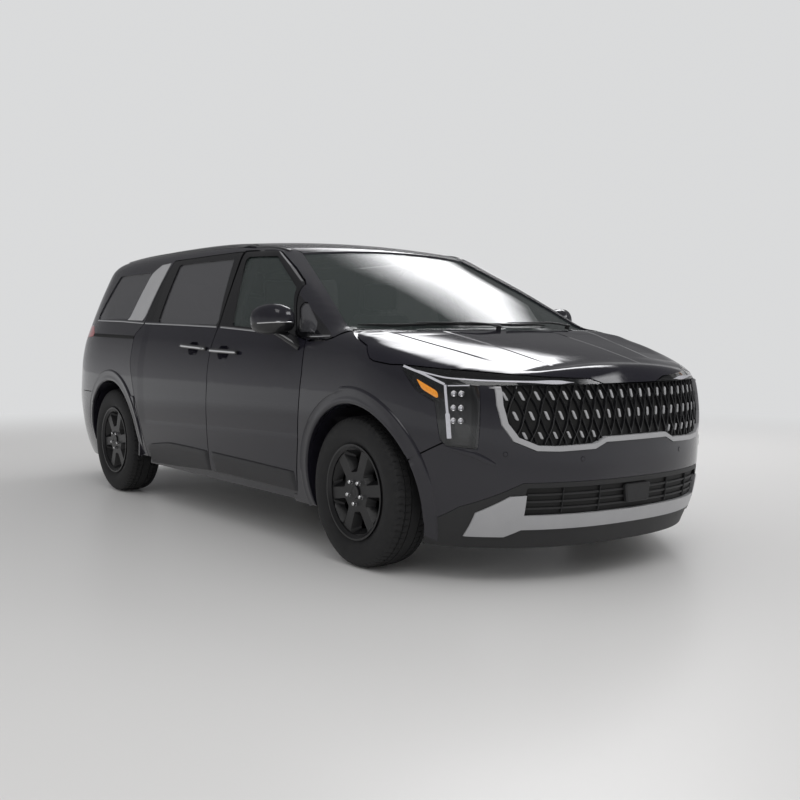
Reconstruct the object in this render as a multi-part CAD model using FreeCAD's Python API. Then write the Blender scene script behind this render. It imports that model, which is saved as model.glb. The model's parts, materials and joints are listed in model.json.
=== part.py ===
# A seven-seat minivan. Millimetres. +X runs forward, +Y to the left, +Z up.
# The origin is on the ground, under the middle of the body.
import FreeCAD, Part
import math
import os
from FreeCAD import Vector

# Overall size
length = 5155.0
width = 1995.0
height = 1740.0
wheelbase = 3090.0
front_overhang = 935.0
track = 1740.0

# Wheels
tyre_radius = 368.0
tyre_width = 235.0
rim_radius = 234.0
bead_radius = 218.0
rim_wall = 9.0
lug_circle = 57.15
hub_radius = 76.0
disc_radius = 164.0
disc_thickness = 28.0
wheel_clearance = 62.0

# Panels and gaps
panel_gap = 6.0
door_gap = 9.0
skin = 18.0
frame_depth = 46.0
door_depth = 128.0
glass_depth = 5.0
glass_inset = 8.0
seat_clearance = 0.2
overrun = 60.0

# Crowns: how far each top surface falls from the middle to the side
roof_crown = 74.0
windshield_crown = 122.0
hood_crown_rear = 26.0
hood_crown_front = 88.0
rail_round = 84.0
shoulder_round = 70.0

half_width = width / 2
front_axle_x = length / 2 - front_overhang
rear_axle_x = front_axle_x - wheelbase
rear_overhang = length - front_overhang - wheelbase

# Side of the body in cross-section: share of height, share of half width
side_shares = [(0.05, 0.880), (0.10, 0.905), (0.144, 0.932), (0.201, 0.957), (0.316, 0.987),
               (0.431, 1.0), (0.546, 0.990), (0.632, 0.958), (0.667, 0.938), (0.80, 0.860),
               (0.931, 0.767), (1.0, 0.712)]
# Nose in side view: share of height, share of the front overhang ahead of the axle
nose_shares = [(0.05, 0.880), (0.115, 0.930), (0.172, 0.968), (0.259, 0.9925), (0.356, 0.9925),
               (0.431, 0.982), (0.512, 0.950), (0.56, 0.915), (0.70, 0.86), (1.0, 0.80)]
# Tail in side view: share of height, share of the rear overhang behind the axle
tail_shares = [(0.05, 0.90), (0.115, 0.930), (0.172, 0.972), (0.287, 1.0), (0.374, 1.0),
               (0.402, 0.988), (0.46, 0.965), (0.55, 0.948), (0.64, 0.928), (0.70, 0.896),
               (0.80, 0.834), (0.92, 0.756), (1.0, 0.70)]
# Centre lines of the top surfaces: share of the wheelbase from the front axle, share of height
roof_shares = [(-0.15, 0.880), (-0.25, 0.915), (-0.337, 0.9425), (-0.4345, 0.9713), (-0.5316, 0.9885),
               (-0.661, 0.9983), (-0.7905, 1.0), (-0.985, 0.9925), (-1.179, 0.974), (-1.292, 0.957),
               (-1.38, 0.940)]
windshield_shares = [(-0.4345, 1.014), (-0.344, 0.9425), (-0.192, 0.8195), (-0.014, 0.660), (0.083, 0.569)]
hood_shares = [(-0.16, 0.70), (-0.111, 0.690), (-0.030, 0.6667), (0.051, 0.639), (0.132, 0.609),
               (0.213, 0.572), (0.261, 0.543), (0.29, 0.515), (0.31, 0.48)]
nose_power = 2.4
tail_power = 4.0


# Smooth curve through a table of shares, read at one value
def read_curve(table, value):
    rising = table[-1][0] > table[0][0]
    points = table if rising else table[::-1]
    count = len(points)
    if value <= points[0][0]:
        return points[0][1]
    if value >= points[-1][0]:
        return points[-1][1]
    index = 0
    while points[index + 1][0] < value:
        index += 1

    def slope(i):
        if i == 0:
            return (points[1][1] - points[0][1]) / (points[1][0] - points[0][0])
        if i == count - 1:
            return (points[-1][1] - points[-2][1]) / (points[-1][0] - points[-2][0])
        before = points[i][0] - points[i - 1][0]
        after = points[i + 1][0] - points[i][0]
        left = (points[i][1] - points[i - 1][1]) / before
        right = (points[i + 1][1] - points[i][1]) / after
        return (left * after + right * before) / (before + after)

    start, end = points[index], points[index + 1]
    span = end[0] - start[0]
    t = (value - start[0]) / span
    return ((2 * t ** 3 - 3 * t ** 2 + 1) * start[1] + (t ** 3 - 2 * t ** 2 + t) * span * slope(index)
            + (-2 * t ** 3 + 3 * t ** 2) * end[1] + (t ** 3 - t ** 2) * span * slope(index + 1))


def half_width_at(z):
    return half_width * read_curve(side_shares, z / height)


def nose_x(z):
    return front_axle_x + front_overhang * read_curve(nose_shares, z / height)


def tail_x(z):
    return rear_axle_x - rear_overhang * read_curve(tail_shares, z / height)


def along(x):
    return (x - front_axle_x) / wheelbase


# Greater of two values with a round between them, as wide as round_width
def round_max(a, b, round_width):
    near = max(round_width - abs(a - b), 0.0) / round_width
    return max(a, b) + near * near * round_width / 4


def roof_z(x, y):
    return height * read_curve(roof_shares, along(x)) - roof_crown * (y / half_width) ** 2


def windshield_z(x, y):
    return height * read_curve(windshield_shares, along(x)) - windshield_crown * (y / half_width) ** 2


hood_crown_rate = 1.8
halvings = 44


def hood_z(x, y):
    forward = min(max((x - front_axle_x) / front_overhang, 0.0), 1.0)
    crown = hood_crown_rear + (hood_crown_front - hood_crown_rear) * min(hood_crown_rate * forward, 1.0)
    return height * read_curve(hood_shares, along(x)) - crown * (y / half_width) ** 2


def top_z(x, y):
    cabin = -round_max(-roof_z(x, y), -windshield_z(x, y), skin)
    return round_max(cabin, hood_z(x, y), skin)


# Height of the body side as a distance from the outside, below zero inside
def side_distance(x, y, z):
    reach = half_width_at(z)
    across = abs(y) / reach
    if x > front_axle_x:
        part = (x - front_axle_x) / (nose_x(z) - front_axle_x)
        return reach * ((across ** nose_power + part ** nose_power) ** (1 / nose_power) - 1)
    if x < rear_axle_x:
        part = (rear_axle_x - x) / (rear_axle_x - tail_x(z))
        return reach * ((across ** tail_power + part ** tail_power) ** (1 / tail_power) - 1)
    return abs(y) - reach


def body_distance(x, y, z):
    t = min(max((x - front_axle_x) / front_overhang + 0.5, 0.0), 1.0)
    reach = rail_round + (shoulder_round - rail_round) * t
    return round_max(side_distance(x, y, z), z - top_z(x, y), reach)


# Point where a ray from inside the body leaves it
def leave(start, direction, reach):
    near, far = 0.0, reach
    for step in range(halvings):
        middle = (near + far) / 2
        point = start + direction * middle
        if body_distance(point.x, point.y, point.z) > 0:
            far = middle
        else:
            near = middle
    return start + direction * near


surface_step = 0.1 * glass_depth


# Unit vector out of the body surface at a point
def outward(point):
    step = surface_step
    gradient = Vector(
        body_distance(point.x + step, point.y, point.z) - body_distance(point.x - step, point.y, point.z),
        body_distance(point.x, point.y + step, point.z) - body_distance(point.x, point.y - step, point.z),
        body_distance(point.x, point.y, point.z + step) - body_distance(point.x, point.y, point.z - step))
    return gradient.normalize()


# Point of the skin that a ray meets, with the direction out of the body there
def skin_point(eye, direction):
    point = leave(eye, direction, length)
    return point, outward(point)


# Skin points of rays that spread in planes across the body, from the rear to the front
def side_skin(front, rear, low_turn, high_turn, rows, columns, eye_shares):
    eye_y, eye_z = -half_width * eye_shares[0], height * eye_shares[1]
    grid = []
    for i in range(rows):
        x = rear + (front - rear) * i / (rows - 1)
        line = []
        for j in range(columns):
            turn = math.radians(low_turn + (high_turn - low_turn) * j / (columns - 1))
            line.append(skin_point(Vector(x, eye_y, eye_z), Vector(0, -math.cos(turn), math.sin(turn))))
        grid.append(line)
    return grid


# Skin points of rays that spread from one point towards an end of the body
def end_skin(eye, facing, most_turn, low_rise, high_rise, rows, columns):
    grid = []
    for i in range(rows):
        rise = math.radians(low_rise + (high_rise - low_rise) * i / (rows - 1))
        line = []
        for j in range(columns):
            turn = math.radians(most_turn * (2 * j / (columns - 1) - 1))
            line.append(skin_point(eye, Vector(facing * math.cos(turn) * math.cos(rise),
                                               math.sin(turn) * math.cos(rise), math.sin(rise))))
        grid.append(line)
    return grid


# Skin points above a rectangle
def top_skin(front, rear, reach_y, rows, columns):
    grid = []
    for i in range(rows):
        x = rear + (front - rear) * i / (rows - 1)
        line = []
        for j in range(columns):
            y = reach_y * (2 * j / (columns - 1) - 1)
            line.append(skin_point(Vector(x, y, height * top_eye_share), Vector(0, 0, 1)))
        grid.append(line)
    return grid


nose_packing = 1.6


# Skin points of the bonnet: rays in planes across the body, closer together towards the nose
def hood_skin(front, rear, low_turn, rows, columns):
    grid = []
    for i in range(rows):
        s = 1 - (1 - i / (rows - 1)) ** nose_packing
        x = rear + (front - rear) * s
        line = []
        for j in range(columns):
            turn = math.radians(low_turn + (180 - 2 * low_turn) * j / (columns - 1))
            aim = Vector(0, -math.cos(turn), math.sin(turn))
            line.append(skin_point(Vector(x, 0, height * hood_eye_share), aim))
        grid.append(line)
    return grid


# Solid between two depths under a grid of skin points
def slab(skin_grid, shallow, deep):
    surfaces = []
    for depth in (shallow, deep):
        grid = [[point - normal * (depth(point.z) if callable(depth) else depth) for point, normal in line]
                for line in skin_grid]
        surface = Part.BSplineSurface()
        surface.interpolate(grid)
        surfaces.append(surface)
    outer, inner = surfaces
    faces = [outer.toShape(), inner.toShape()]
    u0, u1, v0, v1 = outer.bounds()
    iu0, iu1, iv0, iv1 = inner.bounds()
    pairs = [(outer.uIso(u0), inner.uIso(iu0)), (outer.uIso(u1), inner.uIso(iu1)),
             (outer.vIso(v0), inner.vIso(iv0)), (outer.vIso(v1), inner.vIso(iv1))]
    for first, second in pairs:
        faces.append(Part.makeRuledSurface(first.toShape(), second.toShape()))
    shell = Part.makeShell(faces)
    shell.sewShape()
    solid = Part.makeSolid(shell if shell.ShapeType == "Shell" else shell.Shells[0])
    if solid.Volume < 0:
        solid.reverse()
    return solid


# Outline tools: a flat outline is a list of corners, and prisms of it run along one axis
def side_points(table):
    return [(front_axle_x + a * wheelbase, b * height) for a, b in table]


def front_points(table):
    return [(a * half_width, b * height) for a, b in table]


def plan_points(table):
    return [(front_axle_x + a * wheelbase, b * half_width) for a, b in table]


def area_of(points):
    total = 0.0
    for i in range(len(points)):
        (a, b), (c, d) = points[i - 1], points[i]
        total += a * d - c * b
    return total / 2


tiny = 1e-6
corner_room = 0.45


# Outline with every side moved out by a distance, or in if it is below zero
def grow(points, distance):
    turn = 1.0 if area_of(points) > 0 else -1.0
    count = len(points)
    lines = []
    for i in range(count):
        (a, b), (c, d) = points[i], points[(i + 1) % count]
        size = math.hypot(c - a, d - b)
        nx, ny = turn * (d - b) / size, -turn * (c - a) / size
        lines.append((a + nx * distance, b + ny * distance, c - a, d - b))
    grown = []
    for i in range(count):
        ax, ay, adx, ady = lines[i - 1]
        bx, by, bdx, bdy = lines[i]
        cross = adx * bdy - ady * bdx
        if abs(cross) < tiny * (math.hypot(adx, ady) * math.hypot(bdx, bdy)):
            grown.append((bx, by))
            continue
        t = ((bx - ax) * bdy - (by - ay) * bdx) / cross
        grown.append((ax + adx * t, ay + ady * t))
    return grown


def lift(axis, level):
    if axis == "x":
        return lambda a, b: Vector(level, a, b)
    if axis == "y":
        return lambda a, b: Vector(a, level, b)
    return lambda a, b: Vector(a, b, level)


# Closed wire through the corners, each rounded by a radius that its two sides leave room for
def rounded_wire(points, radius, axis, level):
    place = lift(axis, level)
    count = len(points)
    starts, ends, middles = [], [], []
    for i in range(count):
        px, py = points[i - 1]
        cx, cy = points[i]
        nx, ny = points[(i + 1) % count]
        before, after = math.hypot(px - cx, py - cy), math.hypot(nx - cx, ny - cy)
        ux, uy = (px - cx) / before, (py - cy) / before
        vx, vy = (nx - cx) / after, (ny - cy) / after
        cosine = max(-1.0, min(1.0, ux * vx + uy * vy))
        half = math.acos(cosine) / 2
        cut = min(radius / math.tan(half), corner_room * before, corner_room * after)
        real = cut * math.tan(half)
        bx, by = ux + vx, uy + vy
        size = math.hypot(bx, by)
        starts.append((cx + ux * cut, cy + uy * cut))
        ends.append((cx + vx * cut, cy + vy * cut))
        reach = real / math.sin(half) - real
        straight = size < tiny * tiny or radius == 0
        middles.append(None if straight else (cx + bx / size * reach, cy + by / size * reach))
    edges = []
    for i in range(count):
        if middles[i] is not None:
            arc = Part.Arc(place(*starts[i]), place(*middles[i]), place(*ends[i]))
            edges.append(arc.toShape())
            leaving = ends[i]
        else:
            leaving = points[i]
        following = (i + 1) % count
        arriving = points[following] if middles[following] is None else starts[following]
        if math.hypot(arriving[0] - leaving[0], arriving[1] - leaving[1]) > tiny * (radius + 1):
            edges.append(Part.makeLine(place(*leaving), place(*arriving)))
    return Part.Wire(edges)


def prism(points, radius, axis, low, high):
    face = Part.Face(rounded_wire(points, radius, axis, low))
    along_axis = {"x": Vector(high - low, 0, 0), "y": Vector(0, high - low, 0),
                  "z": Vector(0, 0, high - low)}
    return face.extrude(along_axis[axis])


def block(x0, x1, y0, y1, z0, z1):
    return Part.makeBox(x1 - x0, y1 - y0, z1 - z0, Vector(x0, y0, z0))


# Round bar from one point to another
def bar(start, end, radius):
    return Part.makeCylinder(radius, (end - start).Length, start, end - start)


def join(shapes):
    whole = shapes[0]
    for shape in shapes[1:]:
        whole = whole.fuse(shape)
    if len(shapes) == 1:
        return whole
    merged = whole.removeSplitter()
    return merged if merged.isValid() else whole


def largest(shape):
    return max(shape.Solids, key=lambda solid: solid.Volume)


def mirrored(shape):
    return shape.mirror(Vector(0, 0, 0), Vector(0, 1, 0))


nodes = {}


def keep(name, *shapes):
    solids = [solid for shape in shapes for solid in shape.Solids]
    nodes[name] = Part.makeCompound(solids) if len(solids) > 1 else solids[0]


def keep_pair(name, shape):
    keep(name + "_right", shape)
    keep(name + "_left", mirrored(shape))


# Point at shares of the wheelbase, the half width and the height
def spot(shares):
    return Vector(front_axle_x + shares[0] * wheelbase, shares[1] * half_width, shares[2] * height)


# Box between shares of the wheelbase, the half width and the height
def share_block(shares):
    x0, x1, y0, y1, z0, z1 = shares
    low, high = spot((x0, y0, z0)), spot((x1, y1, z1))
    return block(low.x, high.x, low.y, high.y, low.z, high.z)


def both_sides(shape):
    return [shape, mirrored(shape)]


def from_front(points, distance=0, radius=0):
    outline = grow(points, distance) if distance else points
    return prism(outline, radius, "x", front_axle_x, far_front)


def from_side(points, distance=0, radius=0):
    outline = grow(points, distance) if distance else points
    return prism(outline, radius, "y", -outside, outside)


far_front = front_axle_x + 2 * front_overhang
top_eye_share = 0.50
hood_eye_share = 0.345
side_eye = (0.35, 0.517)
fender_eye = (0.40, 0.37)
side_front_x = front_axle_x - 0.046 * wheelbase
side_rear_x = rear_axle_x - 0.865 * rear_overhang
outside = half_width + overrun
belt_z = 0.658 * height
corner_round = 16.0
glass_round = 30.0
trim_gap = 2.0

rear_eye_shares = (-0.9199, 0.0, 0.2874)
rear_grid = end_skin(spot(rear_eye_shares), -1, 66, -28, 26, 26, 52)
rear_bumper_shares = [(-1.1141, 0.1178), (-1.1141, 0.4017), (-1.5024, 0.4017), (-1.5024, 0.1236),
                      (-1.2435, 0.1236)]
fender_grid = side_skin(front_axle_x + 0.84 * front_overhang, front_axle_x - 0.21 * wheelbase, -50, 66,
                        40, 44, fender_eye)
side_grid = side_skin(side_front_x, side_rear_x, -50, 80, 48, 58, side_eye)
thin_skin = slab(side_grid, 0, frame_depth)

# Side outlines of the doors and windows
front_door_shares = [(-0.4830, 0.9339), (-0.3730, 0.9270), (-0.3115, 0.8741), (-0.2458, 0.8155),
                     (-0.2322, 0.8011), (-0.1879, 0.6552), (-0.1820, 0.6425), (-0.1513, 0.6310),
                     (-0.1471, 0.5351), (-0.1519, 0.4592), (-0.1620, 0.3356), (-0.1872, 0.1724),
                     (-0.5147, 0.1724), (-0.5034, 0.3391), (-0.4956, 0.4724), (-0.4934, 0.6034),
                     (-0.4830, 0.6897), (-0.4804, 0.8046)]
front_door_rear_edge = (12, 13, 14, 15, 16, 17, 0)
front_glass_shares = [(-0.4604, 0.9138), (-0.3568, 0.9069), (-0.2387, 0.7948), (-0.1963, 0.6580),
                      (-0.4299, 0.6782)]
vent_glass_shares = [(-0.2144, 0.7799), (-0.1322, 0.6856), (-0.1231, 0.6552), (-0.1769, 0.6569)]
sliding_door_shares = [(-0.4856, 0.9339), (-0.7998, 0.9322), (-0.8241, 0.8466), (-0.8503, 0.6920),
                       (-0.8859, 0.6466), (-0.8833, 0.5356), (-0.8642, 0.4460), (-0.8406, 0.3218),
                       (-0.8270, 0.2178), (-0.8218, 0.1724), (-0.5173, 0.1724), (-0.5060, 0.3391),
                       (-0.4982, 0.4724), (-0.4960, 0.6034), (-0.4856, 0.6897), (-0.4830, 0.8046)]
sliding_glass_shares = [(-0.5108, 0.9138), (-0.7646, 0.9149), (-0.7801, 0.6925), (-0.4911, 0.6805)]
quarter_glass_shares = [(-0.8982, 0.8977), (-1.0908, 0.8954), (-1.1617, 0.7126), (-0.9497, 0.7109)]
front_door_line = side_points(front_door_shares)
sliding_door_line = side_points(sliding_door_shares)

# Inner limit of the door openings in plan, at the foot of the roof rail and the windshield pillar
door_mask_shares = [(-0.0461, 0.9073), (-0.0953, 0.8742), (-0.1442, 0.8401), (-0.1917, 0.802),
                    (-0.2458, 0.7639), (-0.3115, 0.7368), (-0.3665, 0.7078), (-0.4183, 0.7368),
                    (-0.4992, 0.7018), (-0.9523, 0.7018)]


def side_opening_mask(distance):
    inner = [(x, -y + distance) for x, y in plan_points(door_mask_shares)]
    far = [(inner[-1][0], -outside), (inner[0][0], -outside)]
    return prism(inner + far, 0, "z", 0, height + overrun)


# Lines where the outer panels meet
roof_edge_shares = [(-0.0200, 0.905), (-0.0700, 0.850), (-0.347, 0.6055), (-0.4345, 0.640),
                    (-0.855, 0.667), (-1.2435, 0.6416)]
hood_side_shares = [(0.1092, 0.5684), (0.0853, 0.5724), (0.0536, 0.5799), (0.0439, 0.5862),
                    (0.0244, 0.6201), (-0.0377, 0.6592), (-0.0526, 0.6667), (-0.0526, 0.8333),
                    (0.3908, 0.8333), (0.3908, 0.4023), (0.1092, 0.4023)]
hood_front_shares = [(1.2, 0.5718), (0.930, 0.5718), (0.829, 0.5626), (0.699, 0.5552), (0.491, 0.5425),
                     (0.251, 0.5351), (0.180, 0.5213), (-0.180, 0.5213), (-0.251, 0.5351),
                     (-0.491, 0.5425), (-0.699, 0.5552), (-0.829, 0.5626), (-0.930, 0.5718),
                     (-1.2, 0.5718), (-1.2, 0.85), (1.2, 0.85)]
hood_rear_shares = [(0.3908, -1.203), (-0.0358, -1.203), (-0.0358, -0.8221), (-0.028, -0.6216),
                    (-0.015, -0.3008), (-0.011, -0.1504), (-0.011, 0.1504), (-0.015, 0.3008),
                    (-0.028, 0.6216), (-0.0358, 0.8221), (-0.0358, 1.203), (0.3908, 1.203)]
tailgate_shares = [(0.790, 0.405), (0.792, 0.560), (0.765, 0.700), (0.700, 0.860), (0.652, 0.925),
                   (0.640, 1.1), (-0.640, 1.1), (-0.652, 0.925), (-0.700, 0.860), (-0.765, 0.700),
                   (-0.792, 0.560), (-0.790, 0.405)]
roof_rear_share = -1.2435
arch_radius = tyre_radius + wheel_clearance
housing_inner_front = 0.535 * half_width
housing_inner_rear = 0.700 * half_width
housing_outer = 0.968 * half_width
roof_rear_x = front_axle_x + roof_rear_share * wheelbase
tailgate_line = front_points(tailgate_shares)
gate_opening = prism(grow(tailgate_line, panel_gap), corner_round, "x", rear_axle_x - length,
                     roof_rear_x + panel_gap)


def arch_cut(axle_x):
    return bar(Vector(axle_x, -outside - overrun, tyre_radius), Vector(axle_x, 0, tyre_radius), arch_radius)


# Wheel housing: an arched wall round the wheel, closed on its inner side
def wheel_housing(axle_x, inner, wall, low_z):
    centre = Vector(axle_x, 0, tyre_radius)
    across = Vector(0, -1, 0)
    outer = bar(centre + across * (inner - wall), centre + across * housing_outer, arch_radius + wall)
    hollow = bar(centre + across * inner, centre + across * (outside + overrun), arch_radius)
    below = block(axle_x - 2 * arch_radius, axle_x + 2 * arch_radius, -outside - overrun, 0,
                  -arch_radius, low_z)
    return outer.cut(hollow).cut(below)


roof_edge_line = plan_points(roof_edge_shares)
side_mask = roof_edge_line + plan_points([(-1.4506, 0.6416), (-1.4506, 1.1028), (-0.0202, 1.1028)])
side_mask = [(x, -y) for x, y in side_mask]
side_region = prism(side_mask, 0, "z", 0, height + overrun)

# Doors, pillars and sills
sill_top_z = 0.244 * height
sill_low_z = 0.141 * height
sill_inner_y = 0.802 * half_width
sill_outer_y = 0.905 * half_width
ledge = 60.0
lower_skin = 30.0
pillar_depth = 50.0
pillar_clearance = 8.0
bumper_skin = 14.0
post_inner_y = 0.868 * half_width


# Thickness of a door at a height: thin at its foot, deep to the belt, thin round the glass
def door_depth_at(z):
    def step(low, high, value):
        t = min(max((value - low) / (high - low), 0.0), 1.0)
        return t * t * (3 - 2 * t)

    low_step = step(sill_top_z, sill_top_z + ledge, z)
    high_step = step(belt_z - ledge, belt_z, z)
    return lower_skin + (door_depth - lower_skin) * low_step - (door_depth - frame_depth) * high_step


def pillar_start_at(z):
    return door_depth_at(z) + pillar_clearance


def pillar_end_at(z):
    return door_depth_at(z) + pillar_clearance + pillar_depth


door_slab = slab(side_grid, 0, door_depth_at)
inner_slab = slab([line[:56] for line in side_grid], pillar_start_at, pillar_end_at)
glass_slab = slab(side_grid, glass_inset, glass_inset + glass_depth)

side_shell_shares = [(-0.0461, 1.12), (-0.0461, 0.6638), (-0.0688, 0.6437), (-0.0875, 0.6351),
                     (-0.1420, 0.6351), (-0.20, 0.55), (-0.82, 0.1724), (-0.86, 0.1724), (-0.86, 0.4050),
                     (-1.50, 0.4050), (-1.50, 1.12)]
b_pillar_shares = [(-0.520, 0.20), (-0.462, 0.20), (-0.462, 0.660), (-0.466, 0.930), (-0.506, 0.930),
                   (-0.506, 0.660)]
b_pillar_foot_shares = (-0.520, -0.462, -0.86, -0.802, 0.21, 0.279)
b_pillar_tie_shares = (-0.520, -0.462, -0.712, -0.652, 0.905, 0.958)
hinge_pillar_shares = [(-0.1570, 0.225), (-0.0940, 0.225), (-0.0700, 0.55), (-0.0700, 0.650),
                       (-0.1470, 0.650), (-0.1430, 0.5351), (-0.1478, 0.4592), (-0.1560, 0.3356)]
tail_lamp_shares = [(-1.1760, 0.6870), (-1.1410, 0.6400), (-1.2110, 0.6350), (-1.2600, 0.5650),
                    (-1.50, 0.5650), (-1.50, 0.6870)]
tail_lamp_line = side_points(tail_lamp_shares)
rear_hub_opening_shares = (-1.0655, -0.9361, -0.7619, -0.6015, 0.0, 0.2874)


housing_low = 0.17 * height


def make_body_side():
    shell = thin_skin.common(prism(side_points(side_shell_shares), 0, "y", -outside, 0))
    shell = shell.common(side_region)
    opening_mask = side_opening_mask(panel_gap)
    for line, gap in ((front_door_line, door_gap), (sliding_door_line, panel_gap)):
        opening = prism(grow(line, gap), corner_round, "y", -outside, 0)
        shell = shell.cut(opening.common(opening_mask))
    for glass in (quarter_glass_shares, vent_glass_shares):
        shell = shell.cut(prism(side_points(glass), glass_round, "y", -outside, 0))
    shell = shell.cut(arch_cut(rear_axle_x))
    shell = shell.cut(gate_opening)
    shell = shell.cut(prism(tail_lamp_line, corner_round, "y", -outside, 0))
    pillar = inner_slab.common(prism(side_points(b_pillar_shares), 0, "y", -outside, 0))
    tie = share_block(b_pillar_tie_shares)
    foot = share_block(b_pillar_foot_shares)
    sill = block(rear_axle_x + arch_radius + ledge, front_axle_x - arch_radius, -sill_outer_y, -sill_inner_y,
                 sill_low_z, sill_top_z)
    axle = Vector(front_axle_x, 0, tyre_radius)
    room = bar(axle, axle - Vector(0, outside, 0), arch_radius + skin + panel_gap)
    post = prism(side_points(hinge_pillar_shares), 0, "y", -half_width, -post_inner_y)
    post = post.cut(slab(fender_grid, -overrun, bumper_skin + panel_gap))
    housing = wheel_housing(rear_axle_x, housing_inner_rear, skin, housing_low)
    housing = housing.cut(share_block(rear_hub_opening_shares))
    bumper_band = slab(rear_grid, -2 * skin, skin + trim_gap)
    housing = housing.cut(bumper_band.common(from_side(side_points(rear_bumper_shares), trim_gap)))
    return join([shell, pillar, tie, foot, sill.cut(room), post.cut(room), housing])


def make_tail_lamp():
    lens = thin_skin.common(prism(grow(tail_lamp_line, -trim_gap), corner_round, "y", -outside, 0))
    return lens.cut(gate_opening)


# Prism across the body whose chosen corners lean forward as it goes inwards from the skin
def leaning_prism(points, leaning, lean, radius, inner_y):
    eye = Vector(0, -half_width * side_eye[0], height * side_eye[1])
    wires = []
    for level in (outside, inner_y):
        moved = list(points)
        for i in leaning:
            x, z = points[i]
            aim = Vector(0, -half_width * (1 - side_eye[0]), z - eye.z).normalize()
            skin_y = abs(leave(Vector(x, eye.y, eye.z), aim, length).y)
            moved[i] = (x + lean * (skin_y - level), z)
        wires.append(rounded_wire(moved, radius, "y", -level))
    return Part.makeLoft(wires, True, True)


door_lean = 0.26
lean_inner_y = 0.45 * half_width

# Front door hinges
hinge_x = front_axle_x - 0.1772 * wheelbase
hinge_y = 0.9675 * half_width
hinge_levels = (0.356 * height, 0.494 * height)
hinge_pin = 5.0
hinge_play = 0.15
hinge_ring = 9.0
hinge_half_height = 20.0
hinge_room = 8.0
hinge_leg = 90.0
strap_half_width = 8.0
strap_reach = 0.042 * wheelbase
pocket_reach = 0.06 * wheelbase


def door_hinge_pocket(z):
    tall = hinge_half_height + hinge_room
    return block(hinge_x - hinge_ring - hinge_room, hinge_x + pocket_reach,
                 -(hinge_y + hinge_ring + hinge_room / 2), -(hinge_y - door_depth), z - tall, z + tall)


def hinge_strap(z):
    low, high = z - hinge_half_height, z + hinge_half_height
    axis = Vector(hinge_x, -hinge_y, 0)
    up = Vector(0, 0, 1)
    ring = bar(axis + up * low, axis + up * high, hinge_ring)
    leg = block(hinge_x - strap_half_width, hinge_x + strap_half_width, -hinge_y,
                -(hinge_y - hinge_leg), low, high)
    arm = block(hinge_x - strap_half_width, hinge_x + strap_reach, -(hinge_y - hinge_leg),
                -(hinge_y - hinge_leg - 2 * strap_half_width), low, high)
    bore = bar(axis + up * (low - skin), axis + up * (high + skin), hinge_pin + hinge_play)
    return join([ring, leg, arm]).cut(bore)


# Door handles: a bar on two posts across a rounded cup, with places as shares of the wheelbase and the
# height
handle_bar = 9.0
handle_post = 6.0
handle_stand = 15.0
cup_radius = 60.0
cup_depth = 16.0
cup_half_length = 31.0
front_handle_shares = ((-0.4918, 0.5948), (-0.3856, 0.5908))
sliding_handle_shares = ((-0.6248, 0.6086), (-0.5173, 0.6006))


def handle_spot(share, stand):
    z = share[1] * height
    return Vector(front_axle_x + share[0] * wheelbase, -half_width_at(z) - stand, z)


def add_handle(door, shares):
    rear, front = [handle_spot(share, handle_stand) for share in shares]
    low, high = [handle_spot(share, cup_radius - cup_depth) for share in shares]
    middle = (low + high) / 2
    reach = Vector(cup_half_length, 0, 0)
    door = door.cut(bar(middle - reach, middle + reach, cup_radius))
    for end in (middle - reach, middle + reach):
        door = door.cut(Part.makeSphere(cup_radius, end))
    into = Vector(0, handle_stand + cup_depth / 2, 0)
    inset = (front - rear).normalize() * (2 * handle_post)
    posts = [bar(end, end + into, handle_post) for end in (rear + inset, front - inset)]
    return join([door, bar(rear, front, handle_bar)] + posts)


def make_front_door():
    door = door_slab.common(leaning_prism(front_door_line, front_door_rear_edge, door_lean, corner_round,
                                          lean_inner_y))
    door = door.common(side_opening_mask(0))
    door = door.cut(prism(side_points(front_glass_shares), glass_round, "y", -outside, 0))
    for z in hinge_levels:
        tall = hinge_half_height + hinge_room + skin / 2
        door = door.cut(door_hinge_pocket(z))
        door = door.fuse(bar(Vector(hinge_x, -hinge_y, z - tall), Vector(hinge_x, -hinge_y, z + tall),
                             hinge_pin))
    return add_handle(door, front_handle_shares)


def pane(shares, source):
    return source.common(prism(grow(side_points(shares), -seat_clearance), glass_round, "y", -outside, 0))


# Foot of a sliding door on the sill
sliding_foot_shares = (-0.5639, -0.5445, -0.9373, -0.802, 0.2069, 0.2213)


def make_sliding_door():
    door = door_slab.common(prism(sliding_door_line, corner_round, "y", -outside, 0))
    door = door.common(side_opening_mask(0))
    door = door.cut(prism(side_points(sliding_glass_shares), glass_round, "y", -outside, 0))
    foot = share_block(sliding_foot_shares)
    within = block(side_rear_x, side_front_x, -outside, -(sill_outer_y + seat_clearance), 0, height)
    return add_handle(join([door, foot.common(within)]), sliding_handle_shares)


# Roof and windshield
roof_skin = 30.0
gate_skin = 40.0
roof_grid = top_skin(front_axle_x - 0.30 * wheelbase, roof_rear_x - overrun / 2, 0.72 * half_width, 40, 21)
windshield_grid = top_skin(front_axle_x, front_axle_x - 0.37 * wheelbase, 0.90 * half_width, 30, 33)
roof_front_shares = [(-0.3419, 0.401), (-0.3383, 0.2005), (-0.338, 0.0), (-0.3383, -0.2005),
                     (-0.3419, -0.401)]
windshield_shape_shares = [(-0.0743, 0.8401), (-0.1409, 0.781), (-0.2018, 0.7288),
                           (-0.2814, 0.6637), (-0.3455, 0.6045), (-0.3364, 0.3008), (-0.3358, 0.0),
                           (-0.3364, -0.3008), (-0.3455, -0.6045), (-0.2814, -0.6637),
                           (-0.2018, -0.7288), (-0.1409, -0.781), (-0.0743, -0.8401),
                           (-0.0451, -0.5915), (-0.0267, -0.2506), (-0.0241, 0.0),
                           (-0.0267, 0.2506), (-0.0451, 0.5915)]

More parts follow.
